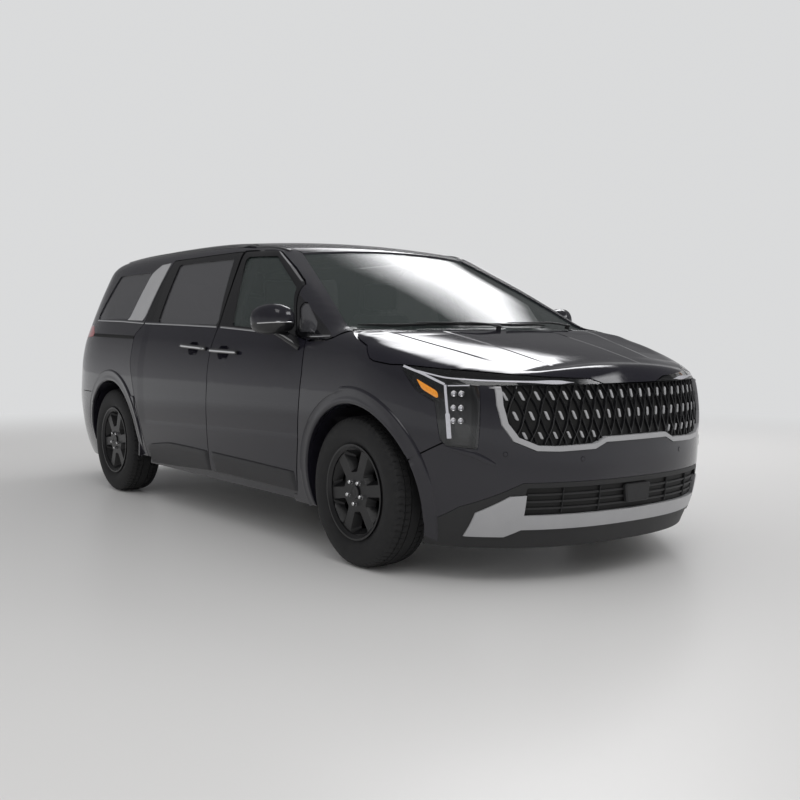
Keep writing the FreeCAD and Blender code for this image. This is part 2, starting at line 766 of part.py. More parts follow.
# Tailgate hinges under the rear edge of the roof
gate_hinge_x = roof_rear_x + 30.0
gate_hinge_y = 0.30 * half_width
gate_hinge_drop = 20.0
gate_pin = 4.0
gate_play = 0.15
gate_skin_play = 1.3
gate_skin_reach = 24.0
gate_ring = 8.0
gate_arm_half_width = 10.0
gate_gap = 8.0
gate_hinge_z = roof_z(gate_hinge_x, gate_hinge_y) - gate_hinge_drop


def make_roof():
    right = [(x, -y + panel_gap) for x, y in roof_edge_line[2:]]
    left = [(x, -y) for x, y in right][::-1]
    outline = right + left + plan_points(roof_front_shares)
    roof = slab(roof_grid, 0, roof_skin).common(prism(outline, 0, "z", height / 2, height + overrun))
    for y in (-gate_hinge_y, gate_hinge_y):
        room = gate_arm_half_width + panel_gap
        notch = block(roof_rear_x - overrun, gate_hinge_x + gate_ring + panel_gap, y - room, y + room,
                      gate_hinge_z - overrun, height + overrun)
        reach = Vector(0, room + skin, 0)
        axis = Vector(gate_hinge_x, y, gate_hinge_z)
        roof = roof.cut(notch).fuse(bar(axis - reach, axis + reach, gate_pin))
    return roof


def make_windshield():
    source = slab(windshield_grid, glass_inset, glass_inset + glass_depth)
    return source.common(prism(plan_points(windshield_shape_shares), trim_gap, "z", height / 2,
                               height + overrun))


# Hood with its hinges under the cowl
hood_skin_depth = 22.0
hood_grid = hood_skin(front_axle_x + 0.948 * front_overhang, front_axle_x - 0.060 * wheelbase, 8, 44, 53)
hood_hinge = spot((-0.0471, 0.6015, 0.6483))
hood_pin = 4.0
hood_ring = 9.0
hood_arm_half_width = 8.0
hood_arm_low = 12.0
hood_arm_high = 9.0
hood_arm_reach = 105.0
ear_gap = 2.0
ear_width = 12.0
ear_half_length = 13.0
shelf_low_z = 0.592 * height


def hood_region(distance):
    side = prism(grow(side_points(hood_side_shares), distance), 0, "y", -outside, outside)
    front = prism(grow(front_points(hood_front_shares), distance), 0, "x", front_axle_x - length, length)
    rear = prism(grow(plan_points(hood_rear_shares), distance), 0, "z", 0, height + overrun)
    return side.common(front).common(rear)


def make_hood():
    hood = slab(hood_grid, 0, hood_skin_depth).common(hood_region(0))
    for y in (-hood_hinge.y, hood_hinge.y):
        axis = Vector(hood_hinge.x, y, hood_hinge.z)
        across = Vector(0, hood_arm_half_width, 0)
        ring = bar(axis - across, axis + across, hood_ring)
        arm = block(axis.x, axis.x + hood_arm_reach, y - hood_arm_half_width, y + hood_arm_half_width,
                    axis.z - hood_arm_low, axis.z + hood_arm_high)
        bore = bar(axis - across * 2, axis + across * 2, hood_pin + gate_play)
        hood = hood.fuse(ring.fuse(arm).cut(bore))
    return hood


cowl_strip_shares = [(-0.0785, 0.7619), (-0.0532, 0.5915), (-0.0364, 0.2506), (-0.0338, 0.0),
                     (-0.0364, -0.2506), (-0.0532, -0.5915), (-0.0785, -0.7619),
                     (-0.0409, -0.7619), (-0.0325, -0.6216), (-0.0189, -0.3008),
                     (-0.0149, -0.1504), (-0.0149, 0.1504), (-0.0189, 0.3008), (-0.0325, 0.6216),
                     (-0.0409, 0.7619)]
cowl_wall_shares = [(-0.0704, 0.7419), (-0.051, 0.5915), (-0.0348, 0.2506), (-0.0322, 0.0),
                    (-0.0348, -0.2506), (-0.051, -0.5915), (-0.0704, -0.7419), (-0.0655, -0.7419),
                    (-0.0461, -0.5915), (-0.0299, -0.2506), (-0.0273, 0.0), (-0.0299, 0.2506),
                    (-0.0461, 0.5915), (-0.0655, 0.7419)]
cowl_shelf_shares = (-0.1328, -0.0138, -0.782, 0.782, 0.592, 0.6023)


cowl_wall_reach = 4 * overrun
cowl_wall_drop = 4.0


def make_cowl():
    under = glass_inset + glass_depth + seat_clearance
    strip = slab(windshield_grid, under, under + hood_ring).common(
        prism(plan_points(cowl_strip_shares), 0, "z", height / 2, height + overrun))
    wall = prism(plan_points(cowl_wall_shares), 0, "z", shelf_low_z, belt_z + 2 * overrun)
    wall = wall.cut(slab(windshield_grid, -cowl_wall_reach, under + cowl_wall_drop))
    cowl = join([strip, wall, share_block(cowl_shelf_shares)])
    for y in (-hood_hinge.y, hood_hinge.y):
        axis = Vector(hood_hinge.x, y, hood_hinge.z)
        room = hood_arm_half_width + panel_gap
        notch = block(axis.x - hood_ring - panel_gap, axis.x + hood_arm_reach, y - room, y + room,
                      axis.z - hood_arm_low - panel_gap, height)
        cowl = cowl.cut(notch)
        inner = hood_arm_half_width + ear_gap
        for low, high in ((y - inner - ear_width, y - inner), (y + inner, y + inner + ear_width)):
            ear = block(axis.x - ear_half_length, axis.x + ear_half_length, low, high, shelf_low_z,
                        axis.z + hood_pin + ear_gap)
            cowl = cowl.fuse(ear)
        across = Vector(0, inner + ear_width, 0)
        cowl = cowl.fuse(bar(axis - across, axis + across, hood_pin))
    return cowl.removeSplitter()


# Front wings
fender_shares = [(-0.2015, 0.1379), (-0.2015, 0.1609), (-0.1885, 0.1609), (-0.1594, 0.5172),
                 (-0.1561, 0.6282), (-0.093, 0.6282), (-0.0694, 0.6379), (-0.0442, 0.658),
                 (-0.0442, 0.7184), (0.1966, 0.7184), (0.1966, 0.4195), (0.1778, 0.3744),
                 (0.1021, 0.3023), (-0.0002, 0.2075), (-0.0785, 0.1379)]
bumper_side_shares = [(-0.0002, 0.0575), (-0.0002, 0.204), (0.1034, 0.2991), (0.1798, 0.3721),
                      (0.2031, 0.431), (0.2031, 0.6897), (0.407, 0.6897), (0.407, 0.0575)]
lamp_side_shares = [(0.104, 0.5741), (0.1383, 0.5057), (0.1665, 0.4764), (0.1749, 0.3793),
                    (0.184, 0.3621), (0.3584, 0.3448), (0.3584, 0.6092), (0.0995, 0.6092)]
lamp_front_shares = [(1.203, 0.3655), (0.8561, 0.3655), (0.7679, 0.3586), (0.7589, 0.4328),
                     (0.7489, 0.5201), (-0.7489, 0.5201), (-0.7589, 0.4328), (-0.7679, 0.3586),
                     (-0.8561, 0.3655), (-1.203, 0.3655), (-1.203, 0.6092), (1.203, 0.6092)]
valance_front_shares = [(1.203, 0.1638), (0.8622, 0.1638), (0.802, 0.2063), (0.6015, 0.2701),
                        (-0.6015, 0.2701), (-0.802, 0.2063), (-0.8622, 0.1638), (-1.203, 0.1638),
                        (-1.203, 0.0948), (1.203, 0.0948)]
skid_shares = [(0.7649, 0.1264), (0.7529, 0.192), (0.6476, 0.2362), (0.5895, 0.2385),
               (0.5895, 0.1851), (-0.5895, 0.1851), (-0.5895, 0.2385), (-0.6476, 0.2362),
               (-0.7529, 0.192), (-0.7649, 0.1264), (-0.6426, 0.127), (-0.5865, 0.1466),
               (0.5865, 0.1466), (0.6426, 0.127)]
lower_grille_shares = [(0.6015, 0.1724), (0.6015, 0.2299), (0.5875, 0.2443), (0.5875, 0.2575),
                       (-0.5875, 0.2575), (-0.5875, 0.2443), (-0.6015, 0.2299), (-0.6015, 0.1724)]
surround_shares = [(0.0, 0.3695), (0.2065, 0.3695), (0.2707, 0.3534), (0.4551, 0.3506),
                   (0.5534, 0.3534), (0.6446, 0.3782), (0.6857, 0.4195), (0.6987, 0.4707),
                   (0.6957, 0.5184), (-0.6957, 0.5184), (-0.6987, 0.4707), (-0.6857, 0.4195),
                   (-0.6446, 0.3782), (-0.5534, 0.3534), (-0.4551, 0.3506), (-0.2707, 0.3534),
                   (-0.2065, 0.3695)]
grille_shares = [(0.0, 0.3828), (0.2025, 0.3828), (0.2647, 0.3667), (0.4551, 0.3638),
                 (0.5464, 0.3667), (0.6256, 0.3879), (0.6647, 0.4241), (0.6777, 0.4707),
                 (0.6747, 0.5184), (-0.6747, 0.5184), (-0.6777, 0.4707), (-0.6647, 0.4241),
                 (-0.6256, 0.3879), (-0.5464, 0.3667), (-0.4551, 0.3638), (-0.2647, 0.3667),
                 (-0.2025, 0.3828)]
lamp_depth = 40.0
surround_depth = 46.0
surround_proud = 5.0
skid_proud = 7.0
grille_inset = 22.0
grille_depth = 12.0
nose_eye_shares = (0.0024, 0.0, 0.3448)
nose_grid = end_skin(spot(nose_eye_shares), 1, 78, -36, 34, 36, 64)
nose_skin = slab(nose_grid, 0, bumper_skin)


def lamp_region(distance):
    side = from_side(side_points(lamp_side_shares), distance)
    front = from_front(front_points(lamp_front_shares), distance)
    return side.common(front)


# Front damper, and the room it needs in the wheel housing
arm_spread_low = 150.0
arm_spread_high = 90.0
damper_foot_share = (0.0, -0.6216, 0.1178)
damper_top_share = (0.0, -0.6216, 0.546)
damper_radius = 32.0
front_hub_opening_shares = (-0.072, 0.0833, -0.6015, -0.401, 0.0, 0.3448)


def make_fender(side, cowl):
    fender = slab(fender_grid, 0, bumper_skin).common(prism(side_points(fender_shares), 0, "y", -outside, 0))
    fender = fender.cut(prism(grow(front_door_line, door_gap), corner_round, "y", -outside, 0))
    fender = fender.cut(hood_region(panel_gap)).cut(lamp_region(trim_gap)).cut(arch_cut(front_axle_x))
    band = slab(fender_grid, -2 * skin, bumper_skin + seat_clearance)
    housing = wheel_housing(front_axle_x, housing_inner_front, skin, housing_low).cut(band)
    housing = housing.cut(bar(spot(damper_foot_share), spot(damper_top_share),
                              damper_radius + seat_clearance))
    housing = largest(housing.cut(share_block(front_hub_opening_shares)))
    return Part.makeCompound([largest(fender.cut(side).cut(cowl)), housing])


nose_low = 0.165 * height
nose_high = 0.5175 * height


def make_nose():
    axle = Vector(front_axle_x, 0, tyre_radius)
    wheels = bar(axle - Vector(0, outside, 0), axle + Vector(0, outside, 0), arch_radius)
    bumper_zone = from_side(side_points(bumper_side_shares))
    fascia = nose_skin.common(bumper_zone).cut(wheels)
    lower = from_front(front_points(valance_front_shares))
    opening = from_front(front_points(lower_grille_shares), 0, corner_round)
    skid = from_front(front_points(skid_shares), trim_gap)
    surround = from_front(front_points(surround_shares), trim_gap)
    above_hood = hood_region(panel_gap)
    keep("front_valance", fascia.common(lower).cut(opening).cut(skid))
    under = block(front_axle_x, far_front, -outside, outside, 0, nose_low)
    upper = nose_skin.cut(lamp_region(trim_gap)).common(bumper_zone).cut(wheels).cut(surround).cut(
        above_hood)
    keep("front_bumper", upper.cut(from_front(front_points(valance_front_shares), trim_gap)).cut(under))
    keep("skid_trim",
         slab(nose_grid, -skid_proud, bumper_skin).common(from_front(front_points(skid_shares))))
    ring = slab(nose_grid, -surround_proud, surround_depth).common(from_front(front_points(surround_shares)))
    inner = from_front(front_points(grille_shares))
    lid = block(front_axle_x, far_front, -outside, outside, nose_high, height)
    keep("grille_surround", ring.cut(inner).cut(lid))
    plate = slab(nose_grid, grille_inset, grille_inset + grille_depth)
    keep("upper_grille", plate.common(from_front(front_points(grille_shares), -seat_clearance)).cut(lid))
    behind = bumper_skin + seat_clearance
    keep("lower_grille", slab(nose_grid, behind, behind + grille_depth).common(
        from_front(front_points(lower_grille_shares), corner_round / 2)))
    lamps = slab(nose_grid, 0, lamp_depth).common(lamp_region(0)).cut(above_hood)
    lamps = lamps.cut(from_front(front_points(surround_shares), trim_gap))
    keep("headlamps", lamps)


# Tailgate and rear bumper
tail_eye_shares = (-1.0494, 0.0, 0.546)
tail_grid = end_skin(spot(tail_eye_shares), -1, 62, -32, 62, 40, 48)
gate_glass_shares = [(0.6416, 0.6897), (0.5614, 0.8879), (-0.5614, 0.8879), (-0.6416, 0.6897)]
gate_lamp_shares = [(0.8622, 0.6782), (0.3008, 0.6609), (0.3008, 0.6408), (0.6015, 0.6351),
                    (0.6617, 0.5575), (0.8622, 0.546)]


def make_tailgate():
    front_limit = block(rear_axle_x - length, roof_rear_x - gate_gap, -outside, outside, 0, 2 * height)
    gate_zone = prism(tailgate_line, corner_round, "x", rear_axle_x - length,
                      roof_rear_x).common(front_limit)
    gate = slab(tail_grid, 0, gate_skin).common(gate_zone)
    far_back = rear_axle_x - length
    window = prism(front_points(gate_glass_shares), glass_round, "x", far_back, rear_axle_x)
    lamp_zone = prism(front_points(gate_lamp_shares), 0, "x", far_back, rear_axle_x)
    lamp_zones = both_sides(lamp_zone)
    gate = gate.cut(window)
    lens = slab(tail_grid, 0, bumper_skin).common(gate_zone)
    lenses = []
    for zone in lamp_zones:
        lenses.append(lens.common(zone))
        gate = gate.cut(lens.common(zone))
    keep("tailgate_lamps", *lenses)
    pane_zone = prism(grow(front_points(gate_glass_shares), -seat_clearance), glass_round, "x", far_back,
                      rear_axle_x)
    keep("tailgate_glass", slab(tail_grid, glass_inset, glass_inset + glass_depth).common(pane_zone))
    for y in (-gate_hinge_y, gate_hinge_y):
        axis = Vector(gate_hinge_x, y, gate_hinge_z)
        across = Vector(0, gate_arm_half_width, 0)
        ring = bar(axis - across, axis + across, gate_ring)
        arm = block(roof_rear_x - gate_gap - skin, axis.x, y - gate_arm_half_width, y + gate_arm_half_width,
                    axis.z - gate_ring, axis.z + gate_ring)
        gate = gate.fuse(ring.fuse(arm).cut(bar(axis - across * 2, axis + across * 2, gate_pin + gate_play)))
        reach = Vector(0, gate_skin_reach, 0)
        gate = gate.cut(bar(axis - reach, axis + reach, gate_pin + gate_skin_play))
    keep("tailgate", gate)


def make_rear_bumper():
    axle = Vector(rear_axle_x, 0, tyre_radius)
    wheels = bar(axle - Vector(0, outside, 0), axle + Vector(0, outside, 0), arch_radius)
    return slab(rear_grid, 0, skin).common(from_side(side_points(rear_bumper_shares))).cut(wheels)


# Floor, seats and what shows inside
front_floor_shares = (-0.8325, -0.1328, -0.8015, 0.8015, 0.1897, 0.2069)
step_shares = (-0.8422, -0.8325, -0.8015, 0.8015, 0.1897, 0.3046)
rear_floor_shares = (-1.2888, -0.8325, -0.8015, 0.8015, 0.2902, 0.3046)
firewall_shares = (-0.1426, -0.1328, -0.792, 0.792, 0.1897, 0.5918)

load_panel_shares = (-1.2759, -1.1853, -0.5514, 0.5514, 0.3017, 0.308)


def make_floor():
    floor = join([share_block(front_floor_shares), share_block(step_shares), share_block(rear_floor_shares),
                  share_block(firewall_shares), share_block(load_panel_shares)])
    centre = Vector(rear_axle_x, 0, tyre_radius)
    for side in (-1, 1):
        room = bar(centre + Vector(0, side * (housing_inner_rear - skin - seat_clearance), 0),
                   centre + Vector(0, side * outside, 0), arch_radius + skin + seat_clearance)
        floor = floor.cut(room)
        front = Vector(front_axle_x, 0, tyre_radius)
        floor = floor.cut(bar(front + Vector(0, side * (housing_inner_front - skin - seat_clearance), 0),
                              front + Vector(0, side * outside, 0), arch_radius + skin + seat_clearance))
    return floor


seat_profile_shares = [(-0.5251, 0.2989), (-0.3536, 0.2989), (-0.3439, 0.3793), (-0.36, 0.4023),
                       (-0.4927, 0.3822), (-0.5251, 0.7241), (-0.5639, 0.7241), (-0.551, 0.3448)]
seat_base_shares = (-0.5057, -0.3762, -0.2005, 0.2005, 0.2069, 0.3046)
seat_head_shares = [(-0.5429, 0.7385), (-0.5251, 0.7471), (-0.5299, 0.8448), (-0.551, 0.8448),
                    (-0.5607, 0.7471)]
seat_post_shares = (-0.551, -0.5413, -0.0602, 0.0602, 0.6897, 0.7701)
seat_half_width_share = 0.2556
head_half_width_share = 0.1353


# One seat: shift along the body, middle of the seat, rise of the floor and width against a front seat
def make_seat(back, middle, rise, wide):
    def wing(shares, half_share, radius):
        half = half_share * half_width * (wide if half_share == seat_half_width_share else 1)
        return prism(side_points(shares), radius, "y", -half, half)

    seat = join([wing(seat_profile_shares, seat_half_width_share, 2 * glass_round),
                 wing(seat_head_shares, head_half_width_share, glass_round),
                 share_block(seat_base_shares), share_block(seat_post_shares)])
    seat.translate(Vector(-back, middle, 0))
    if rise:
        seat.translate(Vector(0, 0, rise))
    return seat


seat_side = 0.386 * half_width
row_pitch = 0.9323 * half_width
rear_floor_rise = 0.0977 * height
third_row_back = 0.612 * wheelbase
third_row_side = 0.393 * half_width

dash_shares = [(-0.1448, 0.3448), (-0.1448, 0.5862), (-0.1561, 0.6236), (-0.2144, 0.6178),
               (-0.2532, 0.5977), (-0.2662, 0.5632), (-0.2597, 0.4943), (-0.2306, 0.4483),
               (-0.2241, 0.3448)]
dash_half_width = 0.7469 * half_width
console_shares = (-0.3859, -0.2079, -0.1103, 0.1103, 0.207, 0.4138)
wheel_centre_share = (-0.305, 0.386, 0.5661)
wheel_ring = 186.0
wheel_grip = 15.0
wheel_spoke = 0.7 * wheel_grip
column_length = 210.0
wheel_boss = 62.0
wheel_lean = math.radians(24)


def column(radius, reach):
    centre = spot(wheel_centre_share)
    return bar(centre, centre + Vector(math.cos(wheel_lean), 0, -math.sin(wheel_lean)) * reach, radius)


def make_steering_wheel():
    centre = spot(wheel_centre_share)
    axis = Vector(math.cos(wheel_lean), 0, -math.sin(wheel_lean))
    ring = Part.makeTorus(wheel_ring, wheel_grip, centre, axis)
    boss = bar(centre - axis * wheel_grip, centre + axis * 2 * wheel_grip, wheel_boss)
    down = Vector(-math.sin(wheel_lean), 0, -math.cos(wheel_lean))
    rays = [Vector(0, -1, 0), Vector(0, 1, 0), down]
    spokes = [bar(centre, centre + ray * wheel_ring, wheel_spoke) for ray in rays]
    return join([boss, ring, column(2 * wheel_grip, column_length)] + spokes)


engine_shares = (-0.0396, 0.1351, -0.416, 0.416, 0.1509, 0.5345)
rail_shares = [(-0.1327, 0.2128, -0.5013, -0.4211, 0.2414, 0.3103)]
cross_shares = [(0.1998, 0.2128, -0.5013, 0.5013, 0.2414, 0.3448),
                (-0.0623, 0.051, -0.5013, 0.5013, 0.1149, 0.1506),
                (-0.0526, -0.0332, -0.5013, -0.4411, 0.1437, 0.2874),
                (0.0316, 0.051, -0.5013, -0.4411, 0.1437, 0.2874),
                (-0.0138, 0.0154, -0.5093, -0.4411, 0.2874, 0.5517)]
tower_top_shares = (-0.0267, 0.0283, -0.782, -0.4411, 0.5345, 0.5517)

# Steering axis, hubs and brakes
knuckle_y = 0.802 * half_width
knuckle_low_z = 0.118 * height
knuckle_high_z = 0.293 * height
knuckle_post = 20.0
ball_pin = 9.0
ball_play = 0.2
ball_ring = 22.0
arm_half_height = 13.0
arm_inner_y = 0.47 * half_width
stub_radius = 18.0
stub_play = 0.25
stub_start_y = 0.80 * half_width
stub_end_y = 0.895 * half_width
carrier_radius = 58.0
carrier_end_y = 0.836 * half_width
disc_inner_y = 0.848 * half_width


def wishbone(z, spread):
    outer = Vector(front_axle_x, -knuckle_y, z)
    arms = []
    for way in (-1, 1):
        inner = Vector(front_axle_x + way * spread, -arm_inner_y, z)
        arms.append(bar(outer, inner, arm_half_height))
    up = Vector(0, 0, arm_half_height)
    ring = bar(outer - up, outer + up, ball_ring)
    bore = bar(outer - up * 2, outer + up * 2, ball_pin + ball_play)
    return join(arms + [ring]).cut(bore)


def make_front_frame():
    pieces = []
    low = wishbone(knuckle_low_z, arm_spread_low)
    high = wishbone(knuckle_high_z, arm_spread_high)
    damper_foot = spot(damper_foot_share)
    damper_top = spot(damper_top_share)
    damper = bar(damper_foot, damper_top, damper_radius)
    mounts = [share_block(box) for box in cross_shares[2:]]
    half = [share_block(rail_shares[0]), low, high, damper, share_block(tower_top_shares)] + mounts
    for shape in half:
        pieces += both_sides(shape)
    pieces += [share_block(box) for box in cross_shares[:2]]
    return join(pieces)


def make_knuckle():
    foot = Vector(front_axle_x, -knuckle_y, knuckle_low_z)
    head = Vector(front_axle_x, -knuckle_y, knuckle_high_z)
    up = Vector(0, 0, 1)
    post = bar(foot + up * (arm_half_height + trim_gap), head - up * (arm_half_height + trim_gap),
               knuckle_post)
    pins = bar(foot - up * arm_half_height, head + up * arm_half_height, ball_pin)
    centre = Vector(front_axle_x, 0, tyre_radius)
    across = Vector(0, -1, 0)
    carrier = bar(centre + across * (knuckle_y - carrier_radius / 2), centre + across * carrier_end_y,
                  carrier_radius)
    stub = bar(centre + across * knuckle_y, centre + across * stub_end_y, stub_radius)
    return join([post, pins, carrier, stub, make_caliper(front_axle_x)])


caliper_inner = 96.0
caliper_outer = 186.0
caliper_half_angle = 27
caliper_wall = 22.0
disc_room = 6.0


# Brake caliper: a sector that straddles the disc, tied to the hub carrier
def make_caliper(axle_x):
    centre = Vector(axle_x, 0, tyre_radius)
    across = Vector(0, -1, 0)
    low_y = disc_inner_y - disc_room - caliper_wall
    high_y = disc_inner_y + disc_thickness + disc_room + caliper_wall
    ring = bar(centre + across * low_y, centre + across * high_y, caliper_outer)
    ring = ring.cut(bar(centre, centre + across * half_width, caliper_inner))
    slot_outer = disc_radius + disc_room
    slot = bar(centre + across * (disc_inner_y - disc_room),
               centre + across * (disc_inner_y + disc_thickness + disc_room), slot_outer)
    reach = 2 * caliper_outer
    spread = reach * math.tan(math.radians(caliper_half_angle))
    corner = (axle_x, tyre_radius)
    wedge = prism([corner, (axle_x - reach, tyre_radius + spread), (axle_x - reach, tyre_radius - spread)],
                  0, "y", -half_width, 0)
    tie = block(axle_x - caliper_inner - caliper_wall, axle_x, -(low_y + caliper_wall), -low_y,
                tyre_radius - caliper_wall, tyre_radius + caliper_wall)
    return ring.cut(slot).common(wedge).fuse(tie)


def make_rear_axle():
    centre = Vector(rear_axle_x, 0, tyre_radius)
    across = Vector(0, -1, 0)
    carrier = bar(centre + across * (knuckle_y - 2 * carrier_radius), centre + across * carrier_end_y,
                  carrier_radius)
    stub = bar(centre + across * knuckle_y, centre + across * stub_end_y, stub_radius)
    beam = bar(spot(beam_end_share), mirrored_spot(beam_end_share), damper_radius)
    halves = [carrier, stub, make_caliper(rear_axle_x),
              bar(spot(beam_end_share), centre + across * (knuckle_y - carrier_radius), damper_radius),
              bar(spot(beam_end_share), spot(trailing_end_share), arm_half_height * 2),
              bar(spot(spring_foot_share), spot(spring_top_share), spring_radius)]
    return join([beam] + [piece for half in halves for piece in both_sides(half)])


def mirrored_spot(shares):
    return spot((shares[0], -shares[1], shares[2]))


beam_end_share = (-1.0, -0.6216, 0.181)
trailing_end_share = (-0.8406, -0.6216, 0.2098)
spring_foot_share = (-1.0, -0.5213, 0.181)
spring_top_share = (-1.0, -0.5213, 0.2901)
spring_radius = 50.0

exhaust_shares = [(-0.1173, -0.1203, 0.1667), (-0.2403, -0.2506, 0.1494),
                  (-0.8714, -0.2506, 0.1494), (-0.9361, -0.3509, 0.1322),
                  (-1.0817, -0.3509, 0.1322), (-1.1464, -0.4511, 0.1609), (-1.3277, -0.4511, 0.1552)]
exhaust_radius = 27.0
muffler_shares = (-1.2759, -1.1529, -0.6216, -0.2607, 0.1264, 0.2299)
hanger_shares = (-1.2176, -1.1982, -0.4712, -0.4311, 0.2184, 0.2901)
front_hanger_shares = (-0.5316, -0.5218, -0.2707, -0.2306, 0.1552, 0.1895)
tank_shares = (-0.8228, -0.5477, 0.0201, 0.7218, 0.1063, 0.1895)


def make_exhaust():
    points = [spot(shares) for shares in exhaust_shares]
    pieces = [bar(points[i], points[i + 1], exhaust_radius) for i in range(len(points) - 1)]
    pieces += [Part.makeSphere(exhaust_radius, point) for point in points[1:-1]]
    return join([share_block(muffler_shares), share_block(hanger_shares),
                 share_block(front_hanger_shares)] + pieces)


# Wheels: rim, hub and brake disc as one, and the tyre
def ring_of(points):
    wire = Part.makePolygon([Vector(0, y, r) for y, r in points] + [Vector(0, points[0][0], points[0][1])])
    return Part.Face(wire).revolve(Vector(0, 0, 0), Vector(0, 1, 0), 360)


bead_width = 190.0
flange = 14.0
lug_count = 5
spoke_count = 6
spoke_turn = 22.0
face_depth = 42.0
face_y = 0.045 * width
pocket_inner, pocket_outer = 96.0, 205.0
pocket_inner_half, pocket_outer_half = 24.0, 84.0
window_inner, window_outer = 120.0, 180.0
window_inner_half, window_outer_half = 16.0, 40.0
lug_radius = 10.5
lug_height = 18.0
tread_half = 104.0
shoulder_drop = 16.0
tyre_bulge = 22.0
sidewall_radius = 292.0


# Opening between two spokes: wide at the wheel's face, narrow behind it
def wheel_pocket(turn):
    mouth = [(-pocket_inner_half, pocket_inner), (pocket_inner_half, pocket_inner),
             (pocket_outer_half, pocket_outer), (-pocket_outer_half, pocket_outer)]
    throat = [(-window_inner_half, window_inner), (window_inner_half, window_inner),
              (window_outer_half, window_outer), (-window_outer_half, window_outer)]
    low = rounded_wire(mouth, corner_round, "y", -face_y)
    high = rounded_wire(throat, corner_round / 2, "y", -face_y + face_depth)
    pocket = Part.makeLoft([low, high], True)
    through = prism(throat, corner_round / 2, "y", -half_width, half_width)
    pocket = pocket.fuse(through)
    pocket.rotate(Vector(0, 0, 0), Vector(0, 1, 0), turn)
    return pocket


# Wheel with its axle along Y through the origin, outer face towards -Y
def make_wheel():
    half = bead_width / 2
    inner = [(half + flange, rim_radius), (half + flange, rim_radius - rim_wall),
             (half, bead_radius - rim_wall), (-half, bead_radius - rim_wall),
             (-half - flange, rim_radius - rim_wall), (-half - flange, rim_radius),
             (-half, rim_radius), (-half, bead_radius), (half, bead_radius), (half, rim_radius)]
    barrel = ring_of(inner)
    plate = bar(Vector(0, -face_y, 0), Vector(0, -face_y + face_depth, 0), bead_radius - rim_wall / 2)
    for i in range(spoke_count):
        plate = plate.cut(wheel_pocket(spoke_turn + 360 * (i + 0.5) / spoke_count))
    hub = bar(Vector(0, -face_y, 0), Vector(0, -(disc_inner_y - track / 2), 0), hub_radius)
    disc_y = disc_inner_y - track / 2
    disc = bar(Vector(0, -disc_y, 0), Vector(0, -disc_y - disc_thickness, 0), disc_radius)
    bore = bar(Vector(0, -(stub_start_y - track / 2), 0), Vector(0, -(stub_end_y + trim_gap - track / 2), 0),
               stub_radius + stub_play)
    pieces = [barrel, plate, hub, disc]
    for i in range(lug_count):
        turn = math.radians(360 * i / lug_count + 180)
        x, z = lug_circle * math.sin(turn), lug_circle * math.cos(turn)
        pieces.append(bar(Vector(x, -face_y + lug_height, z), Vector(x, -face_y - lug_height / 3, z),
                          lug_radius))
    return join(pieces).cut(bore)


def make_tyre():
    half = bead_width / 2
    seat = bead_radius + seat_clearance
    side = tyre_width / 2
    points = [(half - seat_clearance, seat), (half - seat_clearance, rim_radius), (side, sidewall_radius),
              (tread_half, tyre_radius - shoulder_drop), (tread_half - tyre_bulge, tyre_radius),
              (-tread_half + tyre_bulge, tyre_radius), (-tread_half, tyre_radius - shoulder_drop),
              (-side, sidewall_radius), (-half + seat_clearance, rim_radius), (-half + seat_clearance, seat)]
    return ring_of(points)


# Mirrors
mirror_section_shares = [((-0.2031, -0.9774, 0.6868), 0.082, 0.040),
                         ((-0.2063, -1.0677, 0.6879), 0.098, 0.045),
                         ((-0.2225, -1.1529, 0.6856), 0.045, 0.026)]
mirror_foot_shares = [(-0.1707, -0.9574, 0.6178), (-0.1885, -1.0326, 0.6552)]
mirror_arm_radius = 19.0
mirror_taper = 0.8


def make_mirror():
    wires = []
    for centre_share, half_x_share, half_z_share in mirror_section_shares:
        c = spot(centre_share)
        half_x, half_z = half_x_share * width / 2, half_z_share * height
        corners = [(c.x - half_x, c.z - half_z), (c.x + half_x, c.z - half_z * mirror_taper),
                   (c.x + half_x, c.z + half_z * mirror_taper), (c.x - half_x, c.z + half_z)]
        wires.append(rounded_wire(corners, glass_round, "y", c.y))
    head = Part.makeLoft(wires, True)
    foot, top = [spot(shares) for shares in mirror_foot_shares]
    arm = bar(foot, top, mirror_arm_radius)
    return join([head, arm])


arm_room_shares = (-0.8471, -0.8228, -0.8015, 0.8015, 0.1839, 0.3218)
third_row_scale = 1.1


# Body: sides, doors, glass and the panels between them
side = join([make_body_side()] + [hinge_strap(z) for z in hinge_levels])
keep_pair("body_side", side)
door = make_front_door()
keep_pair("front_door", door)
keep_pair("sliding_door", largest(make_sliding_door().cut(side)))
keep_pair("front_door_glass", pane(front_glass_shares, glass_slab))
panes = [pane(shares, glass_slab)
         for shares in (sliding_glass_shares, quarter_glass_shares, vent_glass_shares)]
keep("side_glass", *[piece for item in panes for piece in both_sides(item)])
keep("tail_lamps", *both_sides(make_tail_lamp()))
keep("roof_panel", make_roof())
keep("windshield", make_windshield().cut(nodes["body_side_left"]).cut(nodes["body_side_right"]))
keep("hood", make_hood())
keep("cowl_panel", make_cowl())
keep_pair("fender", make_fender(side, nodes["cowl_panel"]))
make_nose()
make_tailgate()
keep("rear_bumper", make_rear_bumper())

# Cabin: floor, three rows of seats, dashboard and steering wheel
keep("floor_pan", make_floor())
keep("front_seats", *both_sides(make_seat(0, seat_side, 0, 1)))
keep("middle_seats", *both_sides(make_seat(row_pitch, seat_side, 0, 1)))
keep("rear_seats", *both_sides(make_seat(third_row_back, third_row_side, rear_floor_rise, third_row_scale)))
dash = prism(side_points(dash_shares), glass_round, "y", -dash_half_width, dash_half_width)
socket = column(2 * wheel_grip + seat_clearance, column_length + trim_gap)
keep("dashboard", join([dash, share_block(console_shares)]).cut(socket))
keep("steering_wheel", make_steering_wheel())

